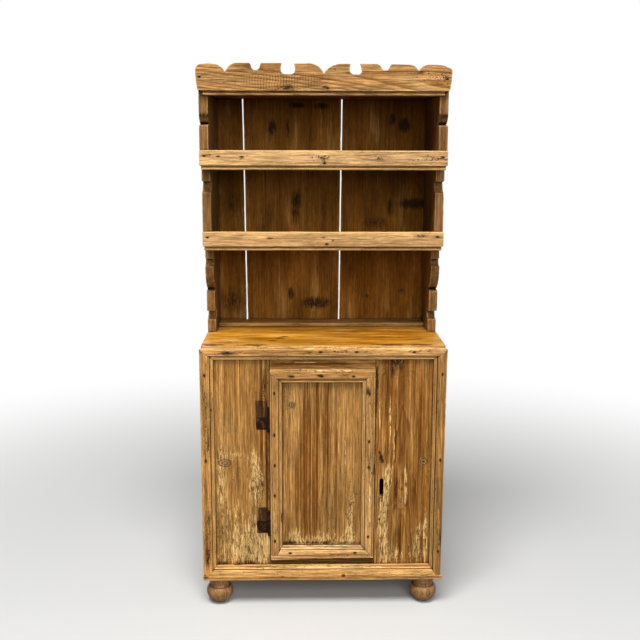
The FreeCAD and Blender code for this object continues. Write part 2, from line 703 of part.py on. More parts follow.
def make_rack():
    sides = {
        "left": make_rack_side("rack_side_left", "-half_rack", "rack_side_thickness"),
        "right": make_rack_side("rack_side_right", "inner_rack_x", "0"),
    }
    between = "2 * (inner_rack_x + housing_depth)"
    left = "-inner_rack_x - housing_depth"
    roof = board("rack_roof", left, "rack_y", "roof_z", between, "rack_depth", "roof_thickness")
    shelves = {
        "upper": board("rack_shelf_upper", left, "rack_y", "upper_shelf_z", between,
                       "rack_depth", "shelf_thickness"),
        "lower": board("rack_shelf_lower", left, "lower_y", "lower_shelf_z", between,
                       "rack_depth - lower_setback", "shelf_thickness"),
    }
    rails = {
        "upper": make_shelf_rail("shelf_rail_upper", "rack_y - rail_thickness", "upper_rail_z"),
        "lower": make_shelf_rail("shelf_rail_lower", "lower_y - rail_thickness", "lower_rail_z"),
    }
    board("rack_foot_rail", "-inner_rack_x", "back_y - foot_rail_depth", "base_height",
          "2 * inner_rack_x", "foot_rail_depth", "foot_rail_thickness")
    make_rack_back()
    return sides, roof, shelves, rails, make_crest()


# Hinges: a fixed leaf let into the left front board, a door leaf on the door's edge, and a pin

def make_fixed_leaf(name, foot, front_board):
    body = new_body(name, "axis_x", "axis_y", foot)
    barrel = new_sketch(body, "XY_Plane")
    circle(barrel, "0", "0", "knuckle_radius")
    pad(body, barrel, "hinge_split")
    plate = new_sketch(body, "XY_Plane", "leaf_lift")
    rectangle(plate, "-leaf_width", "hinge_proud - leaf_proud", "leaf_width + hinge_edge", "leaf_thickness")
    pad(body, plate, "leaf_height")
    bore = new_sketch(body, "XY_Plane")
    circle(bore, "0", "0", "hinge_pin_radius")
    pocket(body, bore)
    x, y, z = corner[front_board.Label]
    recess = new_sketch(front_board, "XZ_Plane")
    height = "leaf_height"
    if name.endswith("lower_fixed_leaf"):
        height = "leaf_height + old_recess_height"
    rectangle(recess, "axis_x - leaf_width - (%s)" % x, "%s + leaf_lift - (%s)" % (foot, z),
              "leaf_width + hinge_edge", height)
    pocket(front_board, recess, "leaf_thickness - leaf_proud")
    return body


def make_door_leaf(name, foot, stile):
    lift = "hinge_split + hinge_split_gap"
    height = "hinge_height - hinge_split - hinge_split_gap"
    body = new_body(name, "axis_x", "axis_y", "%s + %s" % (foot, lift))
    barrel = new_sketch(body, "XY_Plane")
    circle(barrel, "0", "0", "knuckle_radius")
    pad(body, barrel, height)
    plate = new_sketch(body, "XY_Plane")
    edge = "hinge_edge + door_side_gap - edge_leaf_thickness"
    rectangle(plate, edge, "-edge_leaf_front", "edge_leaf_thickness", "edge_leaf_front + edge_leaf_depth")
    pad(body, plate, height)
    bore = new_sketch(body, "XY_Plane")
    circle(bore, "0", "0", "hinge_pin_radius + hinge_pin_play")
    pocket(body, bore)
    return body


def make_hinge_pin(name, foot):
    body = new_body(name, "axis_x", "axis_y", foot)
    shank = new_sketch(body, "XY_Plane")
    circle(shank, "0", "0", "hinge_pin_radius")
    pad(body, shank, "hinge_height + hinge_split_gap")
    head = new_sketch(body, "XY_Plane", "hinge_height + hinge_split_gap")
    circle(head, "0", "0", "hinge_head_radius")
    pad(body, head, "hinge_head_height")


# Nails: separate solids that share a node, each in its own hole

def nail_solid(length):
    head = Part.makeCylinder(number("nail_head_radius"), number("nail_head_height"))
    shank = Part.makeCylinder(number("nail_shank_radius"), length)
    return head.fuse(shank).removeSplitter()


def nail_group(name, nails):
    """Nails as (x, y, z of the face, length past the sunk head, direction)."""
    solids = []
    for x, y, z, length, direction in nails:
        solid = nail_solid(number(length))
        way = FreeCAD.Vector(*direction)
        turn = FreeCAD.Rotation(FreeCAD.Vector(0, 0, 1), way)
        face = FreeCAD.Vector(number(x), number("%s - total_depth / 2" % y), number(z))
        solid.Placement = FreeCAD.Placement(face + way * number("nail_sink"), turn)
        solids.append(solid)
    feature = document.addObject("Part::Feature", name)
    feature.Label = name
    feature.Shape = Part.makeCompound(solids)
    parts.append(feature)


def nail_trim(trim, spots, y, thickness, behind, turn=None):
    """Drill a trim piece and the boards behind it, and return the nails."""
    head_depth = "nail_sink + nail_head_height"
    for radius, depth in (("nail_hole_radius", head_depth), ("nail_shank_radius", thickness)):
        if turn is None:
            drill(trim, spots, radius, depth)
        else:
            drill_moulding(trim, turn, spots, radius, depth)
    for body, chosen in behind:
        own_y = corner[body.Label][1]
        drill(body, [spots[index] for index in chosen], "nail_shank_radius",
              "%s + %s - (%s) + nail_bite" % (y, thickness, own_y))
    length = "%s + nail_bite - nail_sink" % thickness
    return [(x, y, z, length, (0, 1, 0)) for x, z in spots]


def along(start, size, share):
    return "%s + (%s) * %g" % (start, size, share)


CREST_NAIL_SHARES = [(0.0157, 0.56), (0.513, 0.23), (0.980, 0.52)]
UPPER_NAIL_SHARES = [(0.0205, 0.71), (0.503, 0.35), (0.979, 0.66)]
LOWER_NAIL_SHARES = [(0.021, 0.71), (0.515, 0.35), (0.975, 0.74)]
FRAME_TOP_SHARES = (0.487, 0.632, 0.864)
FRAME_LEFT_SHARES = (0.525, 0.882)
FRAME_RIGHT_SHARES = (0.129, 0.525, 0.885)
FRAME_NAIL_SHARE = 0.36
DOOR_TOP_SHARES = (0.215, 0.489, 0.791)
DOOR_BOTTOM_SHARES = (0.19, 0.82)
DOOR_LEFT_SHARES = (0.107, 0.349, 0.507, 0.665, 0.879)
DOOR_RIGHT_SHARES = (0.128, 0.496, 0.63, 0.876)
DOOR_NAIL_SHARES = {"top": 0.54, "bottom": 0.54, "left": 0.38, "right": 0.45}


def nail_rack(sides, roof, shelves, rails, crest):
    nails = []
    pieces = [
        (crest, CREST_NAIL_SHARES, "half_crest", "crest_z", "crest_height", "crest_thickness",
         "rack_y", roof),
        (rails["upper"], UPPER_NAIL_SHARES, "half_rack", "upper_rail_z", "rail_height", "rail_thickness",
         "rack_y", shelves["upper"]),
        (rails["lower"], LOWER_NAIL_SHARES, "half_rack", "lower_rail_z", "rail_height", "rail_thickness",
         "lower_y", shelves["lower"]),
    ]
    for trim, shares, half, foot, height, thickness, back, shelf in pieces:
        spots = [(along("-" + half, "2 * " + half, share[0]), along(foot, height, share[1]))
                 for share in shares]
        behind = [(sides["left"], [0]), (shelf, [1]), (sides["right"], [2])]
        nails += nail_trim(trim, spots, "(%s - %s)" % (back, thickness), thickness, behind)
    nail_group("rack_nails", nails)


def nail_frame(frame, boards):
    width = "frame_width"
    rise = "base_height - foot_height"
    top_z = "base_height - frame_top_width * %g" % 0.42
    left_x = "-frame_width / 2 + frame_side_width * %g" % FRAME_NAIL_SHARE
    right_x = "frame_width / 2 - frame_side_width * %g" % FRAME_NAIL_SHARE
    top = [(along("-frame_width / 2", width, share), top_z) for share in FRAME_TOP_SHARES]
    left = [(left_x, along("foot_height", rise, share)) for share in FRAME_LEFT_SHARES]
    right = [(right_x, along("foot_height", rise, share)) for share in FRAME_RIGHT_SHARES]
    thickness = "frame_thickness"
    nails = nail_trim(frame["top"], top, "0", thickness, [(boards["top"], [0, 1, 2])], 180)
    nails += nail_trim(frame["left"], left, "0", thickness, [(boards["left"], [0, 1])], 90)
    nails += nail_trim(frame["right"], right, "0", thickness, [(boards["right"], [0, 1, 2])], -90)
    nail_group("frame_nails", nails)


def nail_door(rails, stiles, mouldings):
    thickness = "door_moulding_thickness"
    y = "(face_y - %s)" % thickness
    foot = "door_foot + door_strip_bottom"
    head = "door_head - door_strip_top"
    rise = "(%s) - (%s)" % (head, foot)
    inset = {side: "door_%s_width * %g" % (side, share) for side, share in DOOR_NAIL_SHARES.items()}
    nails = []
    for side, turn, shares, z, rail in (
            ("top", 180, DOOR_TOP_SHARES, "%s - %s" % (head, inset["top"]), rails["top"]),
            ("bottom", 0, DOOR_BOTTOM_SHARES, "%s + %s" % (foot, inset["bottom"]), rails["bottom"])):
        spots = [(along("door_left", "door_width", share), z) for share in shares]
        nails += nail_trim(mouldings[side], spots, y, thickness, [(rail, range(len(spots)))], turn)
    for side, turn, shares, x, stile in (
            ("left", 90, DOOR_LEFT_SHARES, "door_left + %s" % inset["left"], stiles["left"]),
            ("right", -90, DOOR_RIGHT_SHARES, "door_right - %s" % inset["right"], stiles["right"])):
        spots = [(x, along(foot, rise, share)) for share in shares]
        nails += nail_trim(mouldings[side], spots, y, thickness, [(stile, range(len(spots)))], turn)
    nail_group("door_nails", nails)


LEAF_NAIL_SHARES = [(0.25, 0.22), (0.25, 0.78), (0.66, 0.5)]
EDGE_NAIL_SHARES = [(0.62, 0.28), (0.80, 0.72)]


def nail_hinges(hinges, front_board, stile):
    fixed = []
    edge = []
    plate_height = "hinge_height - hinge_split - hinge_split_gap"
    for foot, fixed_leaf, door_leaf in hinges:
        leaf_y = "(face_y - leaf_proud)"
        spots = [(along("axis_x - leaf_width", "leaf_width", share[0]),
                  along("%s + leaf_lift" % foot, "leaf_height", share[1])) for share in LEAF_NAIL_SHARES]
        sunk = "%s - (axis_y) + nail_sink + nail_head_height" % leaf_y
        drill(fixed_leaf, spots, "nail_head_radius", sunk)
        drill(fixed_leaf, spots, "nail_shank_radius", "%s - (axis_y) + leaf_thickness" % leaf_y)
        length = "leaf_thickness + hinge_nail_bite - nail_sink"
        drill(front_board, spots, "nail_shank_radius", "leaf_thickness - leaf_proud + hinge_nail_bite")
        fixed += [(x, leaf_y, z, length, (0, 1, 0)) for x, z in spots]
        leaf_foot = "%s + hinge_split + hinge_split_gap" % foot
        holes = new_sketch(door_leaf, "YZ_Plane")
        matching = new_sketch(stile, "YZ_Plane")
        stile_x, stile_y, stile_z = corner[stile.Label]
        for share in EDGE_NAIL_SHARES:
            hole_y = "edge_leaf_depth * %g" % share[0]
            hole_z = "(%s) * %g" % (plate_height, share[1])
            circle(holes, hole_y, hole_z, "nail_shank_radius")
            circle(matching, "axis_y + %s - (%s)" % (hole_y, stile_y),
                   "%s + %s - (%s)" % (leaf_foot, hole_z, stile_z), "nail_shank_radius")
            edge.append((along("axis_y", "edge_leaf_depth", share[0]), "%s + %s" % (leaf_foot, hole_z)))
        pocket(door_leaf, holes)
        pocket(stile, matching, "hinge_nail_bite", reverse=True)
    nail_group("fixed_leaf_nails", fixed)
    flush = "(door_left - edge_leaf_thickness)"
    solids = []
    for y, z in edge:
        start = FreeCAD.Vector(number(flush), number("%s - total_depth / 2" % y), number(z))
        reach = number("edge_leaf_thickness + hinge_nail_bite")
        solids.append(Part.makeCylinder(number("nail_shank_radius"), reach, start, FreeCAD.Vector(1, 0, 0)))
    feature = document.addObject("Part::Feature", "door_leaf_nails")
    feature.Label = "door_leaf_nails"
    feature.Shape = Part.makeCompound(solids)
    parts.append(feature)


def make_dowels(base_top):
    sketch = new_sketch(base_top, "XY_Plane", "top_thickness")
    solids = []
    for x in ("rack_side_thickness / 2 - half_rack", "half_rack - rack_side_thickness / 2"):
        for y in dowel_places():
            circle(sketch, "%s + half_carcass" % x, "%s - face_y" % y, "dowel_radius")
            across = number("%s - total_depth / 2" % y)
            foot = FreeCAD.Vector(number(x), across, number("base_height - dowel_depth"))
            solids.append(Part.makeCylinder(number("dowel_radius"), number("2 * dowel_depth"), foot))
    pocket(base_top, sketch, "dowel_depth")
    feature = document.addObject("Part::Feature", "rack_dowels")
    feature.Label = "rack_dowels"
    feature.Shape = Part.makeCompound(solids)
    parts.append(feature)


def named(label):
    return [part for part in parts if part.Label == label][0]


make_base()
make_front()
make_base_back()
make_feet()
frame_widths = {"top": "frame_top_width", "bottom": "frame_bottom_width",
                "left": "frame_side_width", "right": "frame_side_width"}
outer_frame = make_frame("frame_moulding", "-frame_width / 2", "frame_width / 2", "foot_height",
                         "base_height", "0", "frame_thickness", frame_widths, FRAME_SHARES, FRAME_MITRES)
wear(outer_frame["top"], [
    [("0", "0"), ("corner_wear", "0", -0.15), ("0", "corner_wear")],
    [("frame_width", "0"), ("frame_width", "corner_wear", -0.15), ("frame_width - corner_wear", "0")]])
wear(outer_frame["right"], [[("0", "0"), ("base_height - foot_height", "0"), ("0", "frame_side_wear")]])
door_rails, door_stiles, door_mouldings = make_door()
rack_sides, rack_roof, rack_shelves, rack_rails, crest_board = make_rack()
make_dowels(named("base_top"))
hinge_sets = []
for place_name, foot_size in (("upper", "upper_hinge_z"), ("lower", "lower_hinge_z")):
    fixed_part = make_fixed_leaf("hinge_%s_fixed_leaf" % place_name, foot_size, named("front_board_left"))
    door_part = make_door_leaf("hinge_%s_door_leaf" % place_name, foot_size, door_stiles["left"])
    make_hinge_pin("hinge_%s_pin" % place_name, foot_size)
    hinge_sets.append((foot_size, fixed_part, door_part))
nail_rack(rack_sides, rack_roof, rack_shelves, rack_rails, crest_board)
nail_frame(outer_frame, {"top": named("base_top"), "left": named("front_board_left"),
                         "right": named("front_board_right")})
nail_door(door_rails, door_stiles, door_mouldings)
nail_hinges(hinge_sets, named("front_board_left"), door_stiles["left"])
document.recompute()

faults = [item.Label for item in document.Objects if "Invalid" in item.State or "Error" in item.State]
for part in parts:
    if part.Shape.isNull() or not part.Shape.isValid():
        faults.append(part.Label)
if faults:
    raise RuntimeError("failed: " + ", ".join(faults))

os.makedirs("parts", exist_ok=True)
for part in parts:
    part.Shape.exportStep("parts/%s.step" % part.Label)
print(len(parts), "parts written")
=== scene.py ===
import json
import math

import bmesh
import bpy
from mathutils import Matrix, Vector, noise

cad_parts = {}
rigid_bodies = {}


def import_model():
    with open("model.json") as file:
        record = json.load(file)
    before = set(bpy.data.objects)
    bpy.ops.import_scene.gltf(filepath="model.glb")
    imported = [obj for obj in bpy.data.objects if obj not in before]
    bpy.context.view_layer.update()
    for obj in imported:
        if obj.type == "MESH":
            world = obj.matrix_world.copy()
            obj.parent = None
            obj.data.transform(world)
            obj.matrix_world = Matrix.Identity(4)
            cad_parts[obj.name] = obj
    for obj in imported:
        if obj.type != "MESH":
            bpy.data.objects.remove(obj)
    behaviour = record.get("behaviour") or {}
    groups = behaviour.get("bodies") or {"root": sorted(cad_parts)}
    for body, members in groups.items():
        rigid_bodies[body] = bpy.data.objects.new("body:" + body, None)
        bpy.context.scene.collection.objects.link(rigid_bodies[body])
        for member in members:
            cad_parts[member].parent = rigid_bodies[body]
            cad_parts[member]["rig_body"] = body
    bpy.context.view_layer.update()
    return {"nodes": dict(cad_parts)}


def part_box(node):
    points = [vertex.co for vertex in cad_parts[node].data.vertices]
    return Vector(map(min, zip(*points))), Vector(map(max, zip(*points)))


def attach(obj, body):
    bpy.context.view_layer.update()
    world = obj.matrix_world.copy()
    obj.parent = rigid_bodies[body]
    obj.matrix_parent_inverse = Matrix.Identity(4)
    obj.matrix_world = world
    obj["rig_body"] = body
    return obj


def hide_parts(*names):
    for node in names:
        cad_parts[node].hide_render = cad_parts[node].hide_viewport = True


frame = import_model()
nodes = frame["nodes"]
scene = bpy.context.scene
scene.view_settings.view_transform = "Standard"
MM = 0.001


def color(*levels):
    return tuple(levels) + (1.0,)


# Camera at the photograph's viewing angle

IMAGE_SIZE = 640
FOCAL_PIXELS = 962.0
SENSOR = 36.0
FAR_CLIP = 60
EYE = Vector((-0.0758, -3.3422, 1.588))
YAW = math.radians(1.1616)
PITCH = math.radians(10.429)
ROLL = math.radians(0.1545)

forward = Vector((math.sin(YAW) * math.cos(PITCH), math.cos(YAW) * math.cos(PITCH), -math.sin(PITCH)))
sideways = Vector((math.cos(YAW), -math.sin(YAW), 0))
above = sideways.cross(forward)
right = sideways * math.cos(ROLL) + above * math.sin(ROLL)
up = above * math.cos(ROLL) - sideways * math.sin(ROLL)
camera = bpy.data.objects.new("camera", bpy.data.cameras.new("camera"))
scene.collection.objects.link(camera)
camera.data.sensor_width = SENSOR
camera.data.lens = SENSOR * FOCAL_PIXELS / IMAGE_SIZE
camera.data.clip_end = FAR_CLIP
turned = Matrix((right, up, -forward)).transposed().to_4x4()
camera.matrix_world = Matrix.Translation(EYE) @ turned
scene.camera = camera


# Lights: place, size and power of each, aimed at the middle of the cupboard

AIM = Vector((0, 0, 0.8))
LIGHTS = {
    "overhead": ((-0.6, -2.6, 5.6), (2.8, 2.4), 400),
    "front": ((1.0, -6.2, 3.3), (4.0, 3.0), 215),
}


def area_light(name, place, size, power):
    lamp = bpy.data.lights.new(name, "AREA")
    lamp.shape = "RECTANGLE"
    lamp.size, lamp.size_y = size
    lamp.energy = power
    piece = bpy.data.objects.new(name, lamp)
    scene.collection.objects.link(piece)
    place = Vector(place)
    turn = (AIM - place).to_track_quat("-Z", "Y").to_matrix().to_4x4()
    piece.matrix_world = Matrix.Translation(place) @ turn


for light_name, light in LIGHTS.items():
    area_light(light_name, *light)


# Materials are built by short calls on a graph of nodes

# Where a Mix node has its factor and its two colours, and where it gives the mixed colour
MIX_SOCKETS, MIX_OUTPUT = (0, 6, 7), 2


class Graph:
    """Short calls for building a material out of nodes."""

    def __init__(self, material):
        material.use_nodes = True
        self.tree = material.node_tree
        self.shader = self.tree.nodes.get("Principled BSDF")

    def node(self, kind, **settings):
        made = self.tree.nodes.new("ShaderNode" + kind)
        for key, value in settings.items():
            setattr(made, key, value)
        return made

    def put(self, node, socket, value):
        if value is None:
            return
        target = node.inputs[socket]
        if isinstance(value, bpy.types.NodeSocket):
            self.tree.links.new(value, target)
        else:
            target.default_value = value

    def math(self, operation, first, second=None, third=None, clamp=False):
        made = self.node("Math", operation=operation, use_clamp=clamp)
        for index, value in enumerate((first, second, third)):
            self.put(made, index, value)
        return made.outputs[0]

    def times(self, first, second, clamp=False):
        return self.math("MULTIPLY", first, second, clamp=clamp)

    def times_plus(self, first, second, third, clamp=False):
        return self.math("MULTIPLY_ADD", first, second, third, clamp=clamp)

    def vector(self, operation, first, second=None, third=None):
        made = self.node("VectorMath", operation=operation)
        for index, value in enumerate((first, second, third)):
            self.put(made, index, value)
        return made.outputs["Value" if operation == "LENGTH" else "Vector"]

    def scaled(self, vector, scale, offset=(0, 0, 0)):
        return self.vector("MULTIPLY_ADD", vector, scale, offset)

    def parts(self, vector):
        """The x, y and z of a vector."""
        made = self.node("SeparateXYZ")
        self.put(made, 0, vector)
        return made.outputs

    def noise(self, vector, detail, roughness=0.5):
        made = self.node("TexNoise")
        self.put(made, "Vector", vector)
        made.inputs["Scale"].default_value = 1.0
        made.inputs["Detail"].default_value = detail
        made.inputs["Roughness"].default_value = roughness
        return made

    def step(self, value, low, high, start=0.0, end=1.0, kind="SMOOTHSTEP"):
        made = self.node("MapRange", interpolation_type=kind)
        for socket, item in enumerate((value, low, high, start, end)):
            self.put(made, socket, item)
        return made.outputs[0]

    def straight(self, value, low, high, start, end):
        return self.step(value, low, high, start, end, "LINEAR")

    def ramp(self, value, stops):
        made = self.node("ValToRGB")
        self.put(made, 0, value)
        elements = made.color_ramp.elements
        for index, (place, grey) in enumerate(stops):
            element = elements[index] if index < 2 else elements.new(place)
            element.position = place
            element.color = (grey, grey, grey, 1)
        return made.outputs["Color"]

    def mix(self, factor, first, second, blend="MIX"):
        made = self.node("Mix", data_type="RGBA", blend_type=blend)
        for socket, item in zip(MIX_SOCKETS, (factor, first, second)):
            self.put(made, socket, item)
        return made.outputs[MIX_OUTPUT]

    def spot(self, vector, centre, radii):
        """1 at the centre, falling to 0 at the radii. A radius of None has no effect in that direction."""
        scale = [0 if radius is None else 1 / radius for radius in radii]
        offset = [-place * share for place, share in zip(centre, scale)]
        made = self.node("TexGradient", gradient_type="SPHERICAL")
        self.put(made, "Vector", self.scaled(vector, scale, offset))
        return made.outputs["Fac"]

    def grey(self, value):
        made = self.node("CombineColor")
        for index in range(3):
            self.put(made, index, value)
        return made.outputs[0]

    def most(self, values):
        total = values[0]
        for value in values[1:]:
            total = self.math("MAXIMUM", total, value)
        return total

    def seen(self):
        """1 for rays that show the background, 0 for those that only carry light."""
        rays = self.node("LightPath").outputs
        return self.most([rays["Is %s Ray" % kind] for kind in ("Camera", "Glossy", "Transmission")])

    def roughen(self, height, strength, distance):
        bump = self.node("Bump")
        bump.inputs["Strength"].default_value = strength
        bump.inputs["Distance"].default_value = distance
        self.put(bump, "Height", height)
        self.put(self.shader, "Normal", bump.outputs[0])


# Floor and background: distances from the cupboard at which the floor starts to fade and is white

FLOOR_REACH = 30
FLOOR_FADE = (0.9, 3.4)
FLOOR_SEEN = color(0.62, 0.62, 0.61)
FLOOR_UNSEEN = color(0.26, 0.26, 0.255)
FLOOR_ROUGHNESS = 0.9
WHITE = color(1, 1, 1)
WORLD_LIGHT = 0.18


def make_floor():
    """A pale floor that takes the shadow and fades into a white background."""
    floor = bpy.data.objects.new("floor", bpy.data.meshes.new("floor"))
    corners = [(x * FLOOR_REACH, y * FLOOR_REACH, 0) for x, y in ((-1, -1), (1, -1), (1, 1), (-1, 1))]
    floor.data.from_pydata(corners, [], [(0, 1, 2, 3)])
    scene.collection.objects.link(floor)
    material = bpy.data.materials.new("floor")
    graph = Graph(material)
    graph.shader.inputs["Roughness"].default_value = FLOOR_ROUGHNESS
    camera_ray = graph.node("LightPath").outputs["Is Camera Ray"]
    graph.put(graph.shader, "Base Color", graph.mix(camera_ray, FLOOR_UNSEEN, FLOOR_SEEN))
    distance = graph.vector("LENGTH", graph.node("TexCoord").outputs["Object"])
    white = graph.node("Emission")
    white.inputs["Color"].default_value = WHITE
    blend = graph.node("MixShader")
    graph.put(blend, 0, graph.times(graph.seen(), graph.step(distance, *FLOOR_FADE)))
    graph.put(blend, 1, graph.shader.outputs[0])
    graph.put(blend, 2, white.outputs[0])
    graph.put(graph.tree.nodes["Material Output"], 0, blend.outputs[0])
    floor.data.materials.append(material)


def make_world():
    """White where it is seen, and dim as a light."""
    world = bpy.data.worlds.new("world")
    scene.world = world
    world.use_nodes = True
    graph = Graph(world)
    background = graph.tree.nodes["Background"]
    background.inputs[0].default_value = WHITE
    graph.put(background, 1, graph.straight(graph.seen(), 0, 1, WORLD_LIGHT, 1.0))


# Pine: rings of a log in object space, bent by knots, with fibres, worn patches, stains, specks, cracks,
# and some painted light and shade.
# Lists of marks hold millimetres: along the grain, across it, half length, half width and, last, an amount.

WORN_TONE = color(0.66, 0.425, 0.165)
# Dark tone of stains, holes and knot rims, and of painted shade in crevices and along gaps
STAIN_AND_SHADE_TONE = color(0.026, 0.010, 0.004)
KNOT_TONE = color(0.30, 0.185, 0.080)
HOLE_TONE = color(0.060, 0.024, 0.007)
BAND_TINT = (0.85, 0.74, 0.55)
# Axis along the grain, across it and into the board
ORDERS = {"front_upright": "zxy", "front_level": "xzy", "flat": "xyz", "side_upright": "zyx"}
# Early wood and late wood
TONES = {
    "front": (color(0.43, 0.221, 0.064), color(0.175, 0.066, 0.010)),
    "moulding": (color(0.51, 0.271, 0.092), color(0.23, 0.088, 0.018)),
    "rack": (color(0.54, 0.312, 0.134), color(0.25, 0.108, 0.030)),
    "top": (color(0.66, 0.300, 0.034), color(0.28, 0.088, 0.006)),
    # Back boards: their own darker wood, and partly painted shade of the bays
    "back": (color(0.225, 0.088, 0.0090), color(0.092, 0.030, 0.0035)),
    "inner": (color(0.40, 0.250, 0.120), color(0.26, 0.140, 0.060)),
    "foot": (color(0.34, 0.165, 0.066), color(0.16, 0.066, 0.024)),
}

# Noises over a board: scales along the grain, across it and into the board, detail and roughness
NOISES = {
    "fibre": ((13, 320, 320), 2, 0.60),
    "streak": ((1.9, 84, 84), 3, 0.66),
    "strand": ((1.6, 190, 190), 2, 0.60),
    "hair": ((1.1, 320, 320), 2, 0.55),
    "broad": ((3.4, 26, 26), 4, 0.62),
    "blotch": ((3.2, 9, 9), 4, 0.60),
    "crumb": ((42, 205, 205), 4, 0.74),
    "ragged": ((12, 160, 160), 4, 0.72),
    "fleck": ((160, 270, 270), 1, 0.50),
}
# Noises that bend the grain: scales, and the whole reach of the bend in metres
WIDE_BEND = ((1.1, 4, 4), (0, 0.016, 0.016))
FINE_BEND = ((9, 50, 50), (0.004, 0.004, 0.004))
# Each board reads its noises at a place of its own: steps of its seed, and where they start again
SHIFT_STEPS = (0.731, 1.317, 2.113)
SHIFT_LIMITS = (7.0, 5.0, 3.0)

# Rings: how far a noise moves them, late wood across one ring, and strength of the weakest and strongest
RING_NOISE_SCALE = 24
RING_WANDER = 2.6
LATE_WOOD = [(0.0, 0.05), (1.0, 0.05), (0.40, 0.15), (0.72, 0.62), (0.88, 1.0), (0.94, 0.75)]
RING_STRENGTH = (0.30, 1.30)
# Grain that flows round a knot: its reach and its push, in sizes of the knot
FLOW_LONG, FLOW_WIDE, FLOW_PUSH = 4.5, 3.2, 2.2

# Pairs of numbers say where something starts to show and where it shows in full.
# Where two more follow, they are the amounts at these two ends.
STREAK_DARK, STREAK_PALE = (0.47, 0.66), (0.50, 0.34)
STRAND_DARK = (0.50, 0.66)
BROAD_DARK, BROAD_PALE = (0.47, 0.66), (0.46, 0.32)
HAIR_IN_BAND = (0.40, 0.56, 0.20, 2.0)
BLOTCH_LIGHT = (0.36, 0.64, 1.24, 0.76)
CRUMB_LIGHT = (0.36, 0.64, 1.18, 0.80)
FIBRE_LIGHT = (0.30, 0.70)
FIBRE_DARKER, FIBRE_BRIGHTER = 0.46, 0.44
# Shares of a board's own streaky and patchy that its other streaks and patches take
PALE_STREAKS, DARK_STRANDS, PALE_PATCHES = 0.5, 0.9, 0.45

# Wear: crumbs in it, where it starts, its edge, how far it covers the wood, and the dark flecks left in it
WEAR_CRUMBS, WEAR_START, WEAR_EDGE = 0.35, 0.86, (0.0, 0.09)
WEAR_COVER, WEAR_FLECKS, FLECK_DARK = 0.85, (0.48, 0.57, 0, 0.95), 0.75

# Knots: how the core grows out of its mark, its crumbling by the two noises, its rings and its rim
CORE_GROWTH, CORE_START, CORE_CRUMBLE = 1.35, -0.60, (0.5, 0.24)
KNOT_TURNS, KNOT_TURNS_PER_WIDTH, TURN_RAGGED, TURN_CRUMBS = 1.2, 0.055, 1.3, 0.8
KNOT_RING, KNOT_DARK, KNOT_COVER = (0.10, 0.34), 0.40, (0.0, 0.14, 0, 0.86)
RIM_INNER, RIM_OUTER = (0.13, 0.04, 0, 0.45), (-0.05, 0.02)

# Stains, some of which paint shade at gaps, and scars, broken up by the noises, and the halo of a nail, in
# millimetres along and across
STAIN_AND_SHADE_CRUMBS, SCAR_STREAKS = (0.36, 0.62, 0.45, 1.7), (0.34, 0.60, 0.45, 1.25)
SCAR_CRUMBLE, SCAR_EDGE = 0.5, (1.30, 1.14)
HALO, HALO_CRUMBLE, HALO_EDGE = (13, 8), 0.3, (0.34, 0.95)
STAIN_AND_SHADE_LIMIT = 0.94

# Holes: how blotches, a board's specks and clusters of holes crowd them, and their edge
CROWD_BLOTCHES, CROWD_SPECKS, CROWD_START, CROWD_CLUSTER = 0.35, 0.10, -0.175, 0.2
HOLE_EDGE, HOLE_COVER = (0.735, 0.775), 0.92
CRACK_CRUMBLE, CRACK_EDGE = (0.6, 1.5), (1.36, 1.52)

# Cuts across the grain: their pitch in millimetres, the share of it that is cut, and their fading
CUT_PITCH, CUT_SHARE, CUT_RAGGED, CUT_EDGE = 9, 0.17, 1.3, (0.10, 0.30)

# Worn edges, and dirt and painted shade in corners: their reach in millimetres, and how open or closed a
# place has to be
EDGE_REACH, EDGE_CRUMBLE, EDGE_OPEN = 5, 0.5, (1.12, 0.80)
CREVICE_REACH, CREVICE_CLOSED, CREVICE_COVER = 14, (0.84, 0.26), 0.86
EDGE_SAMPLES, CREVICE_SAMPLES = 4, 6

# Bump: heights of what stands out or lies deeper, its strength, and the depth of a full height in metres
LATE_HEIGHT, FIBRE_HEIGHT, CRUMB_HEIGHT, CRUMB_HEIGHT_WORN = 0.35, 0.5, 0.25, 0.6
WORN_HEIGHT, HOLE_HEIGHT = -0.40, -1.2
BUMP_STRENGTH, BUMP_DEPTH = 0.85, 0.0012
# Roughness: blotches that vary it, how far they and the wear move it, and the coat's own
ROUGH_BLOTCHES, ROUGH_SPREAD, ROUGH_WORN, COAT_ROUGHNESS = (0.3, 0.7), 0.08, 0.15, 0.28


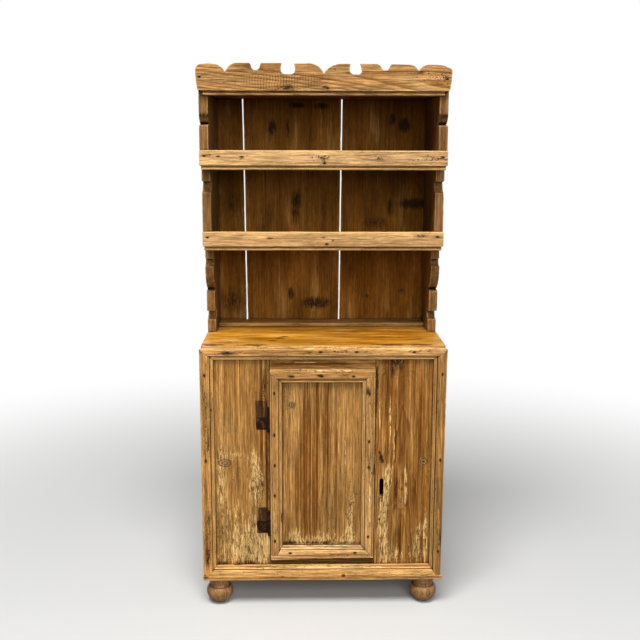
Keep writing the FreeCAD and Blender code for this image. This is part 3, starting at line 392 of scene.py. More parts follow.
class Pine(Graph):
    """A board of pine. here is the place as along the grain, across it and into the board."""

    def __init__(self, name, box, order, seed):
        self.material = bpy.data.materials.new("pine_" + name)
        super().__init__(self.material)
        place = self.parts(self.node("TexCoord").outputs["Object"])
        ordered = self.node("CombineXYZ")
        for index, axis in enumerate(order):
            self.put(ordered, index, place["xyz".index(axis)])
        self.here = ordered.outputs[0]
        self.middle = [(box[0]["xyz".index(axis)] + box[1]["xyz".index(axis)]) / 2 for axis in order]
        self.shift = tuple(seed * pace % limit for pace, limit in zip(SHIFT_STEPS, SHIFT_LIMITS))
        self.near = self.vector("ADD", self.here, self.bend(*FINE_BEND))
        self.bent = self.vector("ADD", self.near, self.bend(*WIDE_BEND))
        for kind, settings in NOISES.items():
            setattr(self, kind, self.grain_noise(*settings).outputs["Fac"])

    def grain_noise(self, scale, detail, roughness=0.5):
        return self.noise(self.scaled(self.here, scale, self.shift), detail, roughness)

    def bend(self, scale, reach):
        wander = self.grain_noise(scale, 2).outputs["Color"]
        return self.scaled(wander, reach, [-part / 2 for part in reach])

    def area(self, mark, where=None):
        """1 in the middle of a mark, falling to 0 at its edge."""
        along, across, long, wide = mark[:4]
        return self.spot(where or self.bent, (along * MM, across * MM, 0), (long * MM, wide * MM, None))

    def crumbled(self, value, ragged, crumb):
        """A value with some of two noises, so that what is cut out of it gets a ragged edge."""
        return self.times_plus(self.crumb, crumb, self.times_plus(self.ragged, ragged, value))

    def rings(self, ring, pith, lean, contrast, knots):
        """How dark the late wood is here."""
        place = self.parts(self.vector("SUBTRACT", self.bent, self.middle))
        centre = self.node("CombineXYZ")
        for index in range(2):
            slope = self.times_plus(place[0], lean[index], place[index + 1])
            self.put(centre, index, self.math("ADD", slope, -pith[index] * MM))
        radius = self.vector("LENGTH", centre.outputs[0])
        for along, across, long, wide in knots:
            flow = self.area((along, across, long * FLOW_LONG, wide * FLOW_WIDE))
            radius = self.times_plus(self.math("POWER", flow, 2.0), wide * FLOW_PUSH * MM, radius)
        place = self.scaled(centre.outputs[0], (RING_NOISE_SCALE,) * 3, self.shift)
        uneven = self.noise(place, 1).outputs["Fac"]
        turns = self.times_plus(uneven, RING_WANDER, self.math("DIVIDE", radius, ring * MM))
        grain = self.ramp(self.math("FRACT", turns), LATE_WOOD)
        single = self.node("TexWhiteNoise", noise_dimensions="1D")
        self.put(single, "W", self.math("FLOOR", turns))
        weakest, strongest = (share * contrast for share in RING_STRENGTH)
        return self.times(grain, self.straight(single.outputs["Value"], 0, 1, weakest, strongest))

    def worn(self, wear, patches):
        """Where the old surface has gone and pale wood shows, in streaks and crumbs."""
        amount = self.times_plus(self.crumb, WEAR_CRUMBS, self.ragged)
        amount = self.math("ADD", amount, wear - WEAR_START)
        for mark in patches:
            amount = self.times_plus(self.area(mark, self.near), mark[4], amount)
        return self.step(amount, *WEAR_EDGE)

    def knot_wood(self, shade, knots, dark):
        """Knots as cores with rings of their own and a faint dark rim, crumbled by the noises."""
        for mark in knots:
            core = self.crumbled(self.times_plus(self.area(mark), CORE_GROWTH, CORE_START), *CORE_CRUMBLE)
            phase = self.times_plus(self.ragged, TURN_RAGGED, self.times(self.crumb, TURN_CRUMBS))
            phase = self.times_plus(self.area(mark), KNOT_TURNS_PER_WIDTH * mark[3] + KNOT_TURNS, phase)
            rings = self.math("PINGPONG", phase, 0.5)
            ring_tone = self.mix(KNOT_DARK, dark, STAIN_AND_SHADE_TONE)
            tone = self.mix(self.step(rings, *KNOT_RING), ring_tone, KNOT_TONE)
            shade = self.mix(self.step(core, *KNOT_COVER), shade, tone)
            rim = self.times(self.step(core, *RIM_OUTER), self.step(core, *RIM_INNER))
            shade = self.mix(rim, shade, STAIN_AND_SHADE_TONE)
        return shade

    def tinted(self, shade, tint):
        return self.mix(1.0, shade, color(*tint), "MULTIPLY")

    def patch(self, mark):
        """A ragged box, where a fitting sat for long."""
        along, across, long, wide = mark[:4]
        scale = (1 / (long * MM), 1 / (wide * MM), 0)
        offset = (-along / long, -across / wide, 0)
        place = self.parts(self.vector("ABSOLUTE", self.scaled(self.near, scale, offset)))
        reach = self.most([place[0], place[1]])
        return self.step(self.times_plus(self.crumb, SCAR_CRUMBLE, reach), *SCAR_EDGE)

    def darkened(self, marks, nails, scars):
        """Dark stains, some of them painted shade along gaps, scars of old fittings, and a halo round each
        nail.
        """
        found = []
        for mark in scars:
            streaks = self.step(self.ragged, *SCAR_STREAKS)
            found.append(self.times(self.times(self.patch(mark), streaks), mark[4]))
        for mark in marks:
            broken = self.times(self.area(mark), self.step(self.crumb, *STAIN_AND_SHADE_CRUMBS))
            found.append(self.times(broken, mark[4]))
        for nail in nails:
            halo = self.area(nail + HALO, self.here)
            found.append(self.step(self.times_plus(self.crumb, HALO_CRUMBLE, halo), *HALO_EDGE))
        return self.math("MINIMUM", self.most(found), STAIN_AND_SHADE_LIMIT) if found else None

    def holes(self, specks, clusters, cracks):
        """Small dark holes, closer together in clusters, and cracks."""
        crowd = self.times_plus(self.blotch, CROWD_BLOTCHES, specks * CROWD_SPECKS + CROWD_START)
        for mark in clusters:
            crowd = self.times_plus(self.area(mark), mark[4] * CROWD_CLUSTER, crowd)
        found = [self.step(self.math("ADD", self.fleck, crowd), *HOLE_EDGE)]
        for mark in cracks:
            crack = self.crumbled(self.area(mark, self.near), *CRACK_CRUMBLE)
            found.append(self.step(crack, *CRACK_EDGE))
        return self.most(found)

    def chatter(self, mark):
        """Short cuts across the grain."""
        along = self.parts(self.near)[0]
        beat = self.times_plus(self.ragged, CUT_RAGGED, self.math("DIVIDE", along, CUT_PITCH * MM))
        cut = self.math("LESS_THAN", self.math("FRACT", beat), CUT_SHARE)
        return self.times(cut, self.step(self.times(self.area(mark), self.crumb), *CUT_EDGE))

    def open_share(self, reach, samples, **settings):
        """How open the surface is within a reach in millimetres."""
        made = self.node("AmbientOcclusion", samples=samples, **settings)
        made.inputs["Distance"].default_value = reach * MM
        return made.outputs["AO"]

    def edge(self):
        """Where the board is thin, as at its edges."""
        inside = self.open_share(EDGE_REACH, EDGE_SAMPLES, inside=True, only_local=True)
        return self.step(self.times_plus(self.crumb, EDGE_CRUMBLE, inside), *EDGE_OPEN)

    # Painted shade, with dirt: darker where other surfaces close in, found by ambient occlusion
    def crevice_dirt_and_shade(self):
        return self.step(self.open_share(CREVICE_REACH, CREVICE_SAMPLES), *CREVICE_CLOSED)


def pine(name, box, tone="front", lie="front_upright", ring=5.5, pith=(40, 60), lean=(0.01, 0.03),
         contrast=0.6, knots=(), worn=(), bands=(), stains_and_shade=(), scars=(), cracks=(), worms=(), cuts=None,
         nails=(), wear=0.0, specks=0.0, edges=0.5, shine=0.07, coat=0.0, rough=0.62, streaky=0.35,
         fine=1.0, patchy=0.0, tint=(1, 1, 1), seed=0):
    """A pine material for one board."""
    wood = Pine(name, box, ORDERS[lie], seed)
    # A tint is the board's own tone; on some boards it paints light or shade, and where it brightens, worn
    # wood takes that painted light too
    tint = tint + (1,)
    light, dark = (tuple(a * b for a, b in zip(wood_tone, tint)) for wood_tone in TONES[tone])
    fresh_tone_and_light = tuple(a * max(b, 1) for a, b in zip(WORN_TONE, tint))
    late = wood.rings(ring, pith, lean, contrast, knots)
    shade = wood.mix(late, light, dark)
    shade = wood.mix(wood.step(wood.streak, *STREAK_DARK, 0, streaky), shade, dark)
    shade = wood.mix(wood.step(wood.streak, *STREAK_PALE, 0, streaky * PALE_STREAKS), shade, WORN_TONE)
    shade = wood.mix(wood.step(wood.strand, *STRAND_DARK, 0, streaky * DARK_STRANDS), shade, dark)
    if patchy:
        shade = wood.mix(wood.step(wood.broad, *BROAD_DARK, 0, patchy), shade, dark)
        shade = wood.mix(wood.step(wood.broad, *BROAD_PALE, 0, patchy * PALE_PATCHES), shade, WORN_TONE)
    for mark in bands:
        band = wood.times(wood.area(mark), wood.step(wood.hair, *HAIR_IN_BAND))
        shade = wood.mix(wood.times(band, mark[4], clamp=True), shade, wood.tinted(dark, BAND_TINT))
    bare = wood.worn(wear, worn)
    flecks = wood.step(wood.crumb, *WEAR_FLECKS)
    pale = wood.mix(flecks, fresh_tone_and_light, wood.mix(FLECK_DARK, light, dark))
    shade = wood.mix(wood.times(bare, WEAR_COVER), shade, pale)
    shade = wood.knot_wood(shade, knots, dark)
    bright = wood.straight(wood.fibre, *FIBRE_LIGHT, 1 - FIBRE_DARKER * fine, 1 + FIBRE_BRIGHTER * fine)
    bright = wood.times(bright, wood.straight(wood.blotch, *BLOTCH_LIGHT))
    bright = wood.times(bright, wood.straight(wood.crumb, *CRUMB_LIGHT))
    shade = wood.mix(1.0, shade, wood.grey(bright), "MULTIPLY")
    if edges:
        shade = wood.mix(wood.times(wood.edge(), edges), shade, WORN_TONE)
    # Stains, scars and nail halos; some of the stains paint shade along gaps
    stained_and_shaded = wood.darkened(stains_and_shade, nails, scars)
    if stained_and_shaded:
        shade = wood.mix(stained_and_shaded, shade, STAIN_AND_SHADE_TONE)
    if cuts:
        shade = wood.mix(wood.times(wood.chatter(cuts), cuts[4]), shade, STAIN_AND_SHADE_TONE)
    holes = wood.holes(specks, worms, cracks)
    shade = wood.mix(wood.times(holes, HOLE_COVER), shade, wood.mix(bare, STAIN_AND_SHADE_TONE, HOLE_TONE))
    # Painted shade, with dirt, in corners, crevices and between parts
    shade = wood.mix(wood.times(wood.crevice_dirt_and_shade(), CREVICE_COVER), shade, STAIN_AND_SHADE_TONE)

    height = wood.times_plus(late, LATE_HEIGHT, wood.times(wood.fibre, FIBRE_HEIGHT))
    crumbs = wood.times(wood.crumb, wood.times_plus(bare, CRUMB_HEIGHT_WORN, CRUMB_HEIGHT))
    height = wood.times_plus(bare, WORN_HEIGHT, wood.math("ADD", crumbs, height))
    wood.roughen(wood.times_plus(holes, HOLE_HEIGHT, height), BUMP_STRENGTH, BUMP_DEPTH)
    shader = wood.shader
    wood.put(shader, "Base Color", shade)
    matt = wood.straight(wood.blotch, *ROUGH_BLOTCHES, rough - ROUGH_SPREAD, rough + ROUGH_SPREAD)
    wood.put(shader, "Roughness", wood.times_plus(bare, ROUGH_WORN, matt, clamp=True))
    shader.inputs["Specular IOR Level"].default_value = shine
    shader.inputs["Coat Weight"].default_value = coat
    shader.inputs["Coat Roughness"].default_value = COAT_ROUGHNESS
    return wood.material


# Iron: bare metal and rust, each with the tone of its pits and of its smooth parts

IRON_TONES = (color(0.007, 0.0030, 0.0018), color(0.026, 0.0115, 0.0065))
RUST_TONES = (color(0.050, 0.020, 0.010), color(0.18, 0.075, 0.030))
PATCHES, PITS = ((70, 70, 70), 5, 0.7), ((420, 420, 420), 3, 0.6)
# Where rust starts and is full at no rust, and how far a rust of 1 moves them
RUST_EDGE, RUST_GROWTH = (0.62, 0.80), (0.3, 0.2)
IRON_ROUGHNESS, RUST_ROUGHNESS, IRON_SHINE = 0.62, 0.88, 0.04
IRON_BUMP_STRENGTH, IRON_BUMP_DEPTH = 0.6, 0.0008


def iron(name, rust, seed):
    """Old iron: nearly black, with rust in patches."""
    material = bpy.data.materials.new("iron_" + name)
    graph = Graph(material)
    here = graph.node("TexCoord").outputs["Object"]
    patches, pits = (graph.noise(graph.scaled(here, scale, (seed, 0, 0)), detail, roughness).outputs["Fac"]
                     for scale, detail, roughness in (PATCHES, PITS))
    rusty = graph.step(patches, *(edge - rust * growth for edge, growth in zip(RUST_EDGE, RUST_GROWTH)))
    shade = graph.mix(rusty, graph.mix(pits, *IRON_TONES), graph.mix(pits, *RUST_TONES))
    graph.put(graph.shader, "Base Color", shade)
    graph.put(graph.shader, "Roughness", graph.straight(rusty, 0, 1, IRON_ROUGHNESS, RUST_ROUGHNESS))
    graph.shader.inputs["Specular IOR Level"].default_value = IRON_SHINE
    graph.roughen(graph.math("ADD", pits, patches), IRON_BUMP_STRENGTH, IRON_BUMP_DEPTH)
    return material


# Nails: their places, read from the frame, stain the wood and keep their holes sharp

NAIL_NODES = ("rack_nails", "frame_nails", "door_nails", "fixed_leaf_nails")
HOLE_REACH = 4.2 * MM
# How far the head of a board's nail may lie past the board's edges, before its face and behind it
HEAD_PAST, HEAD_BEFORE, HEAD_BEHIND = 1 * MM, 2 * MM, 4 * MM
WELD = 1e-6


def loose_parts(node):
    """Boxes of the separate solids of a node."""
    work = bmesh.new()
    work.from_mesh(nodes[node].data)
    bmesh.ops.remove_doubles(work, verts=work.verts, dist=WELD)
    left = set(work.verts)
    boxes = []
    while left:
        group = [left.pop()]
        for vertex in group:
            for edge in vertex.link_edges:
                other = edge.other_vert(vertex)
                if other in left:
                    left.remove(other)
                    group.append(other)
        boxes.append([Vector(pick(v.co[i] for v in group) for i in range(3)) for pick in (min, max)])
    work.free()
    return boxes


nail_boxes = [box for node in NAIL_NODES for box in loose_parts(node)]


def nails_of(box, order):
    """Nail places on a piece's face, along and across its grain, in millimetres."""
    low, high = box
    found = []
    for start, end in nail_boxes:
        centre = (start + end) / 2
        head = Vector((centre.x, start.y, centre.z))
        inside = all(low[i] - HEAD_PAST <= head[i] <= high[i] + HEAD_PAST for i in (0, 2))
        if inside and low.y - HEAD_BEFORE < head.y < low.y + HEAD_BEHIND:
            found.append(tuple(head["xyz".index(axis)] / MM for axis in order[:2]))
    return found


def near_nail(point):
    for start, end in nail_boxes:
        centre = (start + end) / 2
        if math.hypot(point.x - centre.x, point.z - centre.z) < HOLE_REACH:
            return True
    return False


# Worn copies of the boards: rounded, nicked edges in the mesh itself. Lengths are in millimetres.

FLAT = math.radians(1.0)
SHARP = math.radians(32)
ROUNDING, ROUNDING_STEPS = 0.55, 2
SLOW_SCALE, FAST_SCALE = 11, 52
WEAR_BASE, WEAR_WAVE, NICK_START, NICK_DEPTH = 0.35, 0.9, 0.25, 2.2
SEED_SHIFT = (1.7, 0.9, 2.3)


def round_edges(work, radius):
    """Bevel the sharp convex edges away from nails, and mark the new faces."""
    convex = []
    for edge in work.edges:
        if len(edge.link_faces) == 2 and edge.is_convex and edge.calc_face_angle() > SHARP:
            if not near_nail((edge.verts[0].co + edge.verts[1].co) / 2):
                convex.append(edge)
    marked = work.faces.layers.int.new("worn")
    rounded = bmesh.ops.bevel(work, geom=convex, offset=radius * MM, segments=ROUNDING_STEPS,
                              profile=ROUNDING, affect="EDGES", clamp_overlap=False)
    for face in rounded["faces"]:
        face[marked] = 1
    return marked


def slice_up(work, axis, pitch):
    """Cut the mesh across an axis, so that long edges can wear unevenly."""
    low = min(v.co[axis] for v in work.verts)
    high = max(v.co[axis] for v in work.verts)
    direction = Vector([1.0 if i == axis else 0.0 for i in range(3)])
    cuts = max(2, int((high - low) / (pitch * MM)))
    for index in range(1, cuts):
        bmesh.ops.bisect_plane(work, geom=work.verts[:] + work.edges[:] + work.faces[:], dist=WELD,
                               plane_co=direction * (low + (high - low) * index / cuts), plane_no=direction)
    work.normal_update()


def weather(node, along, radius=1.6, wear=0.7, nick=1.0, pitch=14.0, seed=0):
    """A copy of a CAD node with rounded, worn convex edges that replaces it."""
    source = nodes[node]
    work = bmesh.new()
    work.from_mesh(source.data)
    bmesh.ops.remove_doubles(work, verts=work.verts, dist=WELD)
    bmesh.ops.dissolve_limit(work, angle_limit=FLAT, verts=work.verts, edges=work.edges)
    bmesh.ops.recalc_face_normals(work, faces=work.faces)
    marked = round_edges(work, radius)
    slice_up(work, "xyz".index(along), pitch)
    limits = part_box(node)
    shift = Vector([seed * part for part in SEED_SHIFT])
    for vertex in work.verts:
        if not any(face[marked] for face in vertex.link_faces):
            continue
        slow = noise.noise(vertex.co * SLOW_SCALE + shift)
        fast = noise.noise(vertex.co * FAST_SCALE - shift)
        worn_off = wear * max(0.0, WEAR_BASE + WEAR_WAVE * slow)
        nicked = nick * max(0.0, fast - NICK_START) * NICK_DEPTH
        vertex.co -= vertex.normal * (worn_off + nicked) * MM
        for i in range(3):
            vertex.co[i] = min(max(vertex.co[i], limits[0][i]), limits[1][i])
    for face in work.faces:
        face.smooth = bool(face[marked])
    mesh = bpy.data.meshes.new("worn_" + node)
    work.to_mesh(mesh)
    work.free()
    piece = bpy.data.objects.new("worn_" + node, mesh)
    scene.collection.objects.link(piece)
    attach(piece, source["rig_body"])
    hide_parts(node)
    return piece


# Boards: how each is sawn, its tone and its marks
BOARDS = {
    "front_board_left": dict(
        ring=5.0, pith=(-75, 90), lean=(0.01, 0.02), contrast=0.5, streaky=0.4, wear=0.0, radius=1.2,
        tint=(0.95, 0.93, 0.88),
        knots=[(517, -336, 18, 30)],
        # The wide band at 820 darkens the top of the board: painted shade.
        bands=[(515, -188, 430, 12, 2.2), (700, -205, 330, 22, 0.7), (420, -290, 300, 10, 0.5),
               (760, -330, 200, 12, 0.4), (820, -300, 170, 130, 0.3), (560, -214, 120, 14, 0.6)],
        worn=[(470, -228, 130, 40, 0.46), (210, -290, 280, 140, 0.38), (220, -205, 130, 80, 0.38),
              (470, -350, 170, 26, 0.36), (545, -300, 60, 90, 0.25)],
        # The band at -188 and the stain at -192 darken the edge by the door: dirt, and painted shade of the
        # gap.
        stains_and_shade=[(790, -196, 60, 10, 0.8), (426, -240, 12, 22, 0.55), (520, -192, 260, 9, 0.7),
                (150, -262, 18, 60, 1.4), (440, -208, 20, 8, 0.8), (152, -350, 14, 30, 1.0)],
        scars=[(703, -208, 34, 21, 0.85), (692, -200, 26, 12, 0.9), (332, -206, 26, 19, 1.0)],
        worms=[(440, -225, 120, 40, 0.8), (200, -280, 200, 110, 0.5), (740, -206, 50, 30, 0.9)]),
    "front_board_right": dict(
        ring=5.0, pith=(-20, 75), lean=(0.0, -0.045), contrast=0.85, streaky=0.5, wear=-0.03, radius=1.2,
        tint=(0.7, 0.59, 0.42),
        knots=[(872, 250, 18, 26), (520, 340, 20, 19), (380, 268, 15, 8)],
        # The wide band at 800 darkens the top of the board: painted shade.
        bands=[(428, 248, 90, 12, 1.3), (700, 215, 260, 16, 0.5), (640, 330, 260, 20, 0.7),
               (250, 268, 120, 14, 0.8), (800, 280, 190, 130, 0.36), (420, 310, 150, 34, 0.5),
               (250, 330, 150, 30, 0.4), (560, 270, 120, 20, 0.5)],
        worn=[(320, 207, 250, 30, 0.5), (230, 330, 170, 40, 0.36), (430, 282, 150, 8, 0.56),
              (660, 226, 150, 8, 0.46), (180, 250, 80, 90, 0.33), (470, 225, 110, 16, 0.46),
              (250, 355, 200, 10, 0.45), (560, 240, 120, 6, 0.5), (690, 190, 120, 5, 0.5)],
        # The stain at 176 and the long cracks at 179 and 180 darken the edge by the door: a crack and dirt,
        # and painted shade of the gap.
        stains_and_shade=[(868, 244, 34, 34, 0.9), (838, 232, 30, 12, 1.0), (850, 262, 26, 10, 0.7),
                (530, 197, 18, 10, 0.9), (770, 215, 120, 8, 0.4), (700, 176, 200, 4, 1.6),
                (428, 250, 70, 7, 1.0), (430, 200, 44, 9, 1.0)],
        cracks=[(812, 180, 66, 7), (740, 179, 90, 4), (536, 197, 20, 9), (522, 204, 12, 7),
                (552, 192, 12, 6), (400, 203, 16, 6), (452, 200, 12, 9), (312, 193, 7, 5),
                (620, 246, 170, 2.5)],
        worms=[(300, 210, 260, 50, 0.35), (530, 195, 60, 30, 0.8), (230, 330, 150, 60, 0.3),
               (700, 200, 160, 30, 0.5)]),
    "front_head_rail": dict(lie="front_level", contrast=0.5, radius=0.8),
    "front_sill_rail": dict(lie="front_level", contrast=0.5, radius=0.8),
    # Its dark tint is darker wood, and also painted shade under the frame's top moulding.
    "door_rail_top": dict(
        lie="front_level", ring=5, contrast=0.9, patchy=0.5, radius=1.0, tint=(0.72, 0.69, 0.62),
        bands=[(-40, 862, 200, 6, 1.2)],
        worn=[(-60, 868, 150, 4, 0.35)],
        stains_and_shade=[(72, 860, 22, 5, 0.8)]),
    # Its very dark tint is painted shadow: the shadow of the door's bottom moulding on this strip.
    "door_rail_bottom": dict(
        lie="front_level", ring=5, contrast=0.5, wear=-0.25, edges=0.2, radius=1.0,
        tint=(0.25, 0.23, 0.15)),
    "door_stile_left": dict(radius=1.0),
    "door_stile_right": dict(radius=1.0),
    "door_panel": dict(
        ring=4.6, pith=(-16, 44), lean=(-0.006, 0.016), contrast=0.95, streaky=0.45, wear=-0.09, radius=0,
        knots=[(719, -109, 15, 14)],
        bands=[(690, -22, 170, 9, 2.4), (520, -60, 330, 26, 1.5), (480, -30, 330, 22, 1.5),
               (700, -62, 150, 10, 1.3), (560, 10, 380, 16, 1.1), (420, -90, 240, 10, 0.9),
               (520, 46, 300, 7, 0.9), (620, 78, 240, 5, 0.6)],
        worn=[(210, 0, 90, 190, 0.62), (330, 95, 210, 26, 0.52), (560, 76, 100, 6, 0.5),
              (250, -100, 90, 40, 0.36)],
        stains_and_shade=[(719, -109, 22, 20, 0.3), (226, -110, 9, 46, 1.3), (226, -10, 8, 60, 1.1),
                (226, 80, 8, 60, 0.8)],
        worms=[(230, 0, 60, 180, 0.6), (360, 95, 160, 30, 0.5)]),
    "door_moulding_top": dict(
        tone="moulding", lie="front_level", contrast=0.35, streaky=0.35, fine=1.25, patchy=0.35,
        tint=(0.86, 0.8, 0.72),
        worn=[(0, 842, 200, 9, 0.4)],
        stains_and_shade=[(-109, 822, 16, 7, 1.2), (-9, 823, 18, 7, 1.3), (70, 824, 24, 6, 0.8)],
        worms=[(-90, 838, 60, 14, 0.8), (60, 836, 60, 14, 0.8)]),
    # Painted light and shade: its bright tint, and partly the worn strip on top, paint light on the
    # moulding; the band at 184 paints shade on its lower slope.
    "door_moulding_bottom": dict(
        tone="moulding", lie="front_level", contrast=0.3, streaky=0.35, fine=1.25, patchy=0.3, wear=0.06,
        specks=0.3, tint=(1.42, 1.6, 2.1),
        bands=[(0, 184, 260, 12, 1.1)],
        worn=[(0, 222, 220, 14, 0.5)],
        cracks=[(52, 189, 5, 3), (28, 189, 5, 3), (84, 186, 5, 3), (36, 191, 3, 3)],
        worms=[(50, 190, 60, 10, 0.6)]),
    "door_moulding_left": dict(
        tone="moulding", contrast=0.4, streaky=0.35, tint=(0.88, 0.85, 0.78),
        worn=[(300, -165, 200, 20, 0.3)],
        cracks=[(321, -142, 26, 4)]),
    "door_moulding_right": dict(
        tone="moulding", contrast=0.4, streaky=0.35, specks=0.3,
        worn=[(400, 160, 300, 12, 0.3)],
        stains_and_shade=[(768, 152, 26, 9, 1.2)],
        cracks=[(492, 172, 36, 3), (484, 165, 10, 3)]),
    "frame_moulding_top": dict(
        tone="moulding", lie="front_level", contrast=0.32, streaky=0.35, fine=1.25, patchy=0.3, specks=0.3,
        knots=[(-317, 904, 12, 6)],
        worn=[(0, 921, 420, 9, 0.4)],
        stains_and_shade=[(-317, 903, 34, 8, 1.0), (110, 906, 14, 6, 0.8), (-9, 905, 9, 4, 0.6),
                (-49, 907, 18, 5, 0.7)],
        worms=[(-317, 905, 70, 14, 0.9), (40, 908, 160, 12, 0.7), (320, 908, 80, 12, 0.8)]),
    # Its bright tint is painted light: the moulding is drawn lighter than its wood.
    "frame_moulding_bottom": dict(
        tone="moulding", lie="front_level", contrast=0.4, streaky=0.35, fine=1.25, patchy=0.35, wear=0.0,
        specks=0.2, nick=1.9, tint=(1.62, 1.68, 1.68),
        knots=[(71, 113, 9, 9)],
        worn=[(0, 145, 420, 14, 0.42)],
        stains_and_shade=[(71, 113, 10, 10, 0.9), (-404, 112, 12, 12, 0.8)]),
    "frame_moulding_left": dict(
        tone="moulding", contrast=0.5, streaky=0.35, patchy=0.3, specks=0.3, nick=1.5,
        tint=(1.08, 1.03, 0.86),
        bands=[(560, -402, 340, 8, 0.5), (240, -396, 160, 14, 0.5)],
        worn=[(500, -404, 380, 8, 0.3)],
        stains_and_shade=[(190, -398, 60, 12, 0.9), (330, -392, 50, 8, 0.6), (600, -392, 60, 8, 0.5)],
        worms=[(260, -396, 160, 18, 0.8), (640, -398, 160, 14, 0.5)]),
    "frame_moulding_right": dict(
        tone="moulding", contrast=0.6, streaky=0.35, specks=0.3, nick=1.5, tint=(0.66, 0.59, 0.46),
        worn=[(300, 395, 300, 12, 0.25)],
        stains_and_shade=[(250, 400, 40, 10, 0.7)]),
    "base_top": dict(
        tone="top", lie="flat", ring=6, pith=(30, -40), lean=(0.06, 0.02), contrast=1.0, streaky=0.6,
        patchy=0.95, wear=-0.16, specks=0.0, coat=0.1, rough=0.45, radius=1.5, pitch=25,
        tint=(1.06, 1.06, 0.6),
        bands=[(300, 20, 130, 50, 0.6), (240, -70, 170, 34, 0.7), (-90, 70, 190, 14, 0.6),
               (60, -20, 120, 14, 0.6), (-330, -60, 90, 16, 0.6), (120, -160, 160, 14, 0.5)],
        worn=[(20, -80, 110, 30, 0.2), (-320, -130, 180, 110, 0.5), (130, -150, 90, 30, 0.2)],
        stains_and_shade=[(-172, -122, 26, 9, 1.1), (-150, -84, 24, 14, 1.4), (-134, -58, 22, 12, 1.3),
                (117, 22, 26, 9, 1.3), (150, 60, 60, 14, 0.8), (-330, -150, 60, 20, 0.6),
                (-250, -40, 70, 22, 0.5), (210, -60, 40, 14, 0.7), (330, -100, 50, 12, 0.7)],
        cracks=[(225, -199, 90, 16), (320, -200, 70, 15), (-235, -198, 70, 17), (-366, -199, 60, 15)]),
    "base_side_left": dict(
        lie="side_upright", ring=6, pith=(90, 70), contrast=0.6, radius=1.5, tint=(0.92, 0.88, 0.8)),
    "base_side_right": dict(lie="side_upright", ring=6, pith=(-90, -70), contrast=0.6, radius=1.5),
    "crest_board": dict(
        tone="rack", lie="front_level", ring=8, pith=(28, 42), lean=(0.1, 0.02), contrast=1.25, streaky=0.2,
        fine=1.2, patchy=0.35, wear=-0.12, tint=(0.68, 0.63, 0.51), cuts=(-140, 1783, 210, 44, 0.8),
        knots=[(-119, 1765, 13, 9)],
        worn=[(-290, 1800, 90, 20, 0.35), (150, 1790, 60, 14, 0.25), (-60, 1800, 60, 16, 0.25)],
        stains_and_shade=[(5, 1767, 14, 7, 1.3), (396, 1795, 12, 7, 1.2), (310, 1813, 18, 7, 0.8),
                (-119, 1765, 22, 14, 1.0)],
        worms=[(350, 1800, 90, 34, 0.9), (-119, 1762, 60, 16, 0.7), (396, 1788, 30, 30, 0.8)]),
    "shelf_rail_upper": dict(
        tone="rack", lie="front_level", ring=6, pith=(20, 80), contrast=0.35, streaky=0.2, fine=1.15,
        patchy=0.2, wear=-0.05, edges=0.9, tint=(0.95, 0.98, 0.98),
        stains_and_shade=[(-268, 1542, 12, 6, 1.2), (-345, 1544, 10, 5, 1.1), (-3, 1541, 28, 10, 0.7),
                (180, 1541, 16, 5, 0.7)],
        cracks=[(-16, 1545, 3, 3), (-8, 1537, 3, 3), (4, 1546, 3, 3), (11, 1539, 3, 3), (177, 1540, 5, 3),
                (-268, 1543, 5, 3), (-345, 1544, 4, 3)],
        worms=[(-3, 1542, 60, 18, 1.0), (-375, 1545, 40, 16, 0.8), (-268, 1542, 18, 12, 0.9),
               (370, 1542, 70, 12, 0.9), (177, 1541, 20, 10, 0.9), (300, 1536, 60, 8, 0.5)]),
    "shelf_rail_lower": dict(
        tone="rack", lie="front_level", ring=6, pith=(-20, 80), contrast=0.35, streaky=0.25, wear=-0.05,
        edges=0.9, tint=(0.86, 0.86, 0.82),
        stains_and_shade=[(330, 1280, 30, 7, 1.0), (33, 1264, 8, 5, 1.0), (-179, 1272, 20, 5, 0.7),
                (-1, 1275, 12, 5, 0.7)],
        cracks=[(-185, 1273, 5, 2), (-172, 1271, 4, 2), (-1, 1276, 6, 2), (33, 1264, 3, 3),
                (171, 1271, 5, 2), (320, 1281, 6, 3), (338, 1277, 5, 3)],
        worms=[(330, 1280, 60, 14, 0.8), (-179, 1270, 60, 14, 0.6), (-380, 1274, 26, 14, 0.6)]),
    # The dark tints of both rack sides are an old dark stain, and also painted shade on their inner faces.
    "rack_side_left": dict(
        tone="rack", lie="side_upright", ring=7, pith=(60, 60), contrast=0.5, wear=-0.12, radius=1.8,
        tint=(0.42, 0.355, 0.26),
        stains_and_shade=[(1385, -142, 20, 10, 1.2), (1674, -142, 12, 30, 1.0), (1080, -142, 12, 30, 0.7)]),
    "rack_side_right": dict(
        tone="rack", lie="side_upright", ring=7, pith=(-60, -60), contrast=0.5, wear=-0.12, radius=1.8,
        tint=(0.41, 0.34, 0.25),
        stains_and_shade=[(1386, -142, 20, 10, 1.2), (1674, -142, 12, 30, 1.0), (1160, -142, 10, 30, 0.7)]),
    "rack_roof": dict(tone="back", lie="flat", contrast=0.5, edges=0.1, shine=0.05, radius=1.0),
    "rack_shelf_upper": dict(tone="back", lie="flat", contrast=0.5, edges=0.1, shine=0.05, radius=1.0),
    "rack_shelf_lower": dict(tone="back", lie="flat", contrast=0.5, edges=0.1, shine=0.05, radius=1.0),
    "rack_foot_rail": dict(
        tone="rack", lie="front_level", contrast=0.3, fine=1.3, patchy=0.6, radius=1.5,
        tint=(0.74, 0.64, 0.46)),
    "rack_back_plank_left": dict(
        tone="back", ring=9, pith=(40, 60), contrast=0.28, streaky=0.15, fine=0.6, patchy=0.45, wear=-0.2,
        shine=0.05,
        stains_and_shade=[(1010, -330, 60, 50, 0.8), (1360, -330, 50, 40, 0.5)]),
    "rack_back_plank_middle": dict(
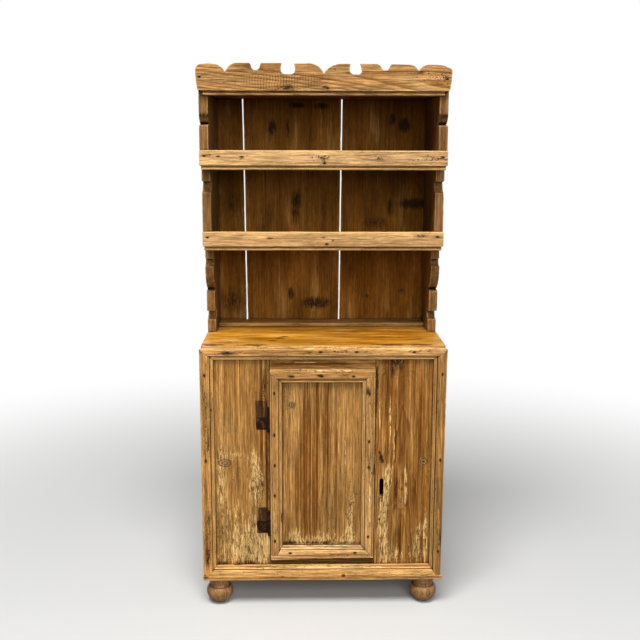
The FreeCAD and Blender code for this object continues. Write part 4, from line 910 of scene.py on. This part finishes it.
        tone="back", ring=12, pith=(10, 40), lean=(0.0, 0.03), contrast=0.28, streaky=0.15, fine=0.6,
        patchy=0.45, wear=-0.2, shine=0.05,
        knots=[(1641, -179, 14, 9), (1380, -93, 16, 11), (1036, -109, 12, 10), (998, -49, 9, 9),
               (994, 9, 10, 10)],
        stains_and_shade=[(1641, -179, 34, 20, 1.7), (1722, -89, 14, 34, 1.5), (1719, -6, 14, 34, 1.5),
                (1641, -121, 46, 8, 1.2), (1380, -93, 46, 22, 1.5), (1330, -95, 50, 18, 1.0),
                (1000, -20, 28, 66, 1.6), (1036, -112, 28, 16, 1.5)]),
    "rack_back_plank_right": dict(
        tone="back", ring=12, pith=(-20, 40), lean=(0.0, -0.03), contrast=0.28, streaky=0.15, fine=0.6,
        patchy=0.45, wear=-0.2, shine=0.05, tint=(0.98, 0.92, 0.78),
        knots=[(1674, 259, 10, 8), (1656, 303, 16, 12), (1357, 253, 12, 9), (1025, 172, 9, 8),
               (1044, 303, 9, 9)],
        stains_and_shade=[(1674, 259, 26, 13, 1.7), (1652, 303, 32, 28, 1.9), (1368, 340, 26, 66, 1.8),
                (1300, 200, 30, 60, 0.8), (1357, 253, 40, 12, 1.2), (1044, 303, 14, 16, 1.2),
                (1025, 172, 12, 12, 0.9)]),
}
HIDDEN = ("base_floor", "inner_shelf", "shelf_cleat_left", "shelf_cleat_right", "foot_batten_left",
          "foot_batten_right", "door_stop", "base_back_plank_left", "base_back_plank_middle",
          "base_back_plank_right", "rack_dowels")
HIDDEN_UPRIGHT = ("base_back", "rack_dowels", "door_stop")
GEOMETRY_KEYS = ("radius", "nick", "pitch")
FOOT = dict(tone="foot", ring=9, pith=(20, 30), contrast=0.5, rough=0.42, shine=0.36,
            tint=(0.95, 0.92, 0.78), streaky=0.4, edges=0)
HINGE_RUST, NAIL_RUST = 0.35, 0.2
BOARD_SEEDS, HIDDEN_SEEDS, FOOT_SEEDS = 3, 70, 90


def put_on(piece, material):
    piece.data.materials.clear()
    piece.data.materials.append(material)


def dress_boards():
    """Worn copies of the boards, or the board itself where its edges are out of sight."""
    for index, (node, settings) in enumerate(BOARDS.items()):
        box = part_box(node)
        shape = {key: settings[key] for key in GEOMETRY_KEYS if key in settings}
        looks = {key: value for key, value in settings.items() if key not in GEOMETRY_KEYS}
        order = ORDERS[looks.get("lie", "front_upright")]
        material = pine(node, box, nails=nails_of(box, order), seed=index + BOARD_SEEDS, **looks)
        piece = nodes[node]
        if shape.get("radius") != 0:
            piece = weather(node, order[0], seed=index, **shape)
        put_on(piece, material)


def dress_rest():
    """Boards inside and behind, feet, hinges and nails keep their own shape."""
    for index, node in enumerate(HIDDEN):
        lie = "front_upright" if node.startswith(HIDDEN_UPRIGHT) else "flat"
        tone = "back" if node.startswith("base_back") else "inner"
        put_on(nodes[node], pine(node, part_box(node), tone=tone, lie=lie, contrast=0.5, edges=0,
                                 seed=index + HIDDEN_SEEDS))
    for index, node in enumerate(sorted(n for n in nodes if n.startswith(("foot_front", "foot_back")))):
        put_on(nodes[node], pine(node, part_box(node), seed=index + FOOT_SEEDS, **FOOT))
    for index, node in enumerate(sorted(n for n in nodes if n.startswith("hinge") or n.endswith("nails"))):
        rust = HINGE_RUST if node.startswith("hinge") else NAIL_RUST
        put_on(nodes[node], iron(node, rust, index))


make_floor()
make_world()
dress_boards()
dress_rest()
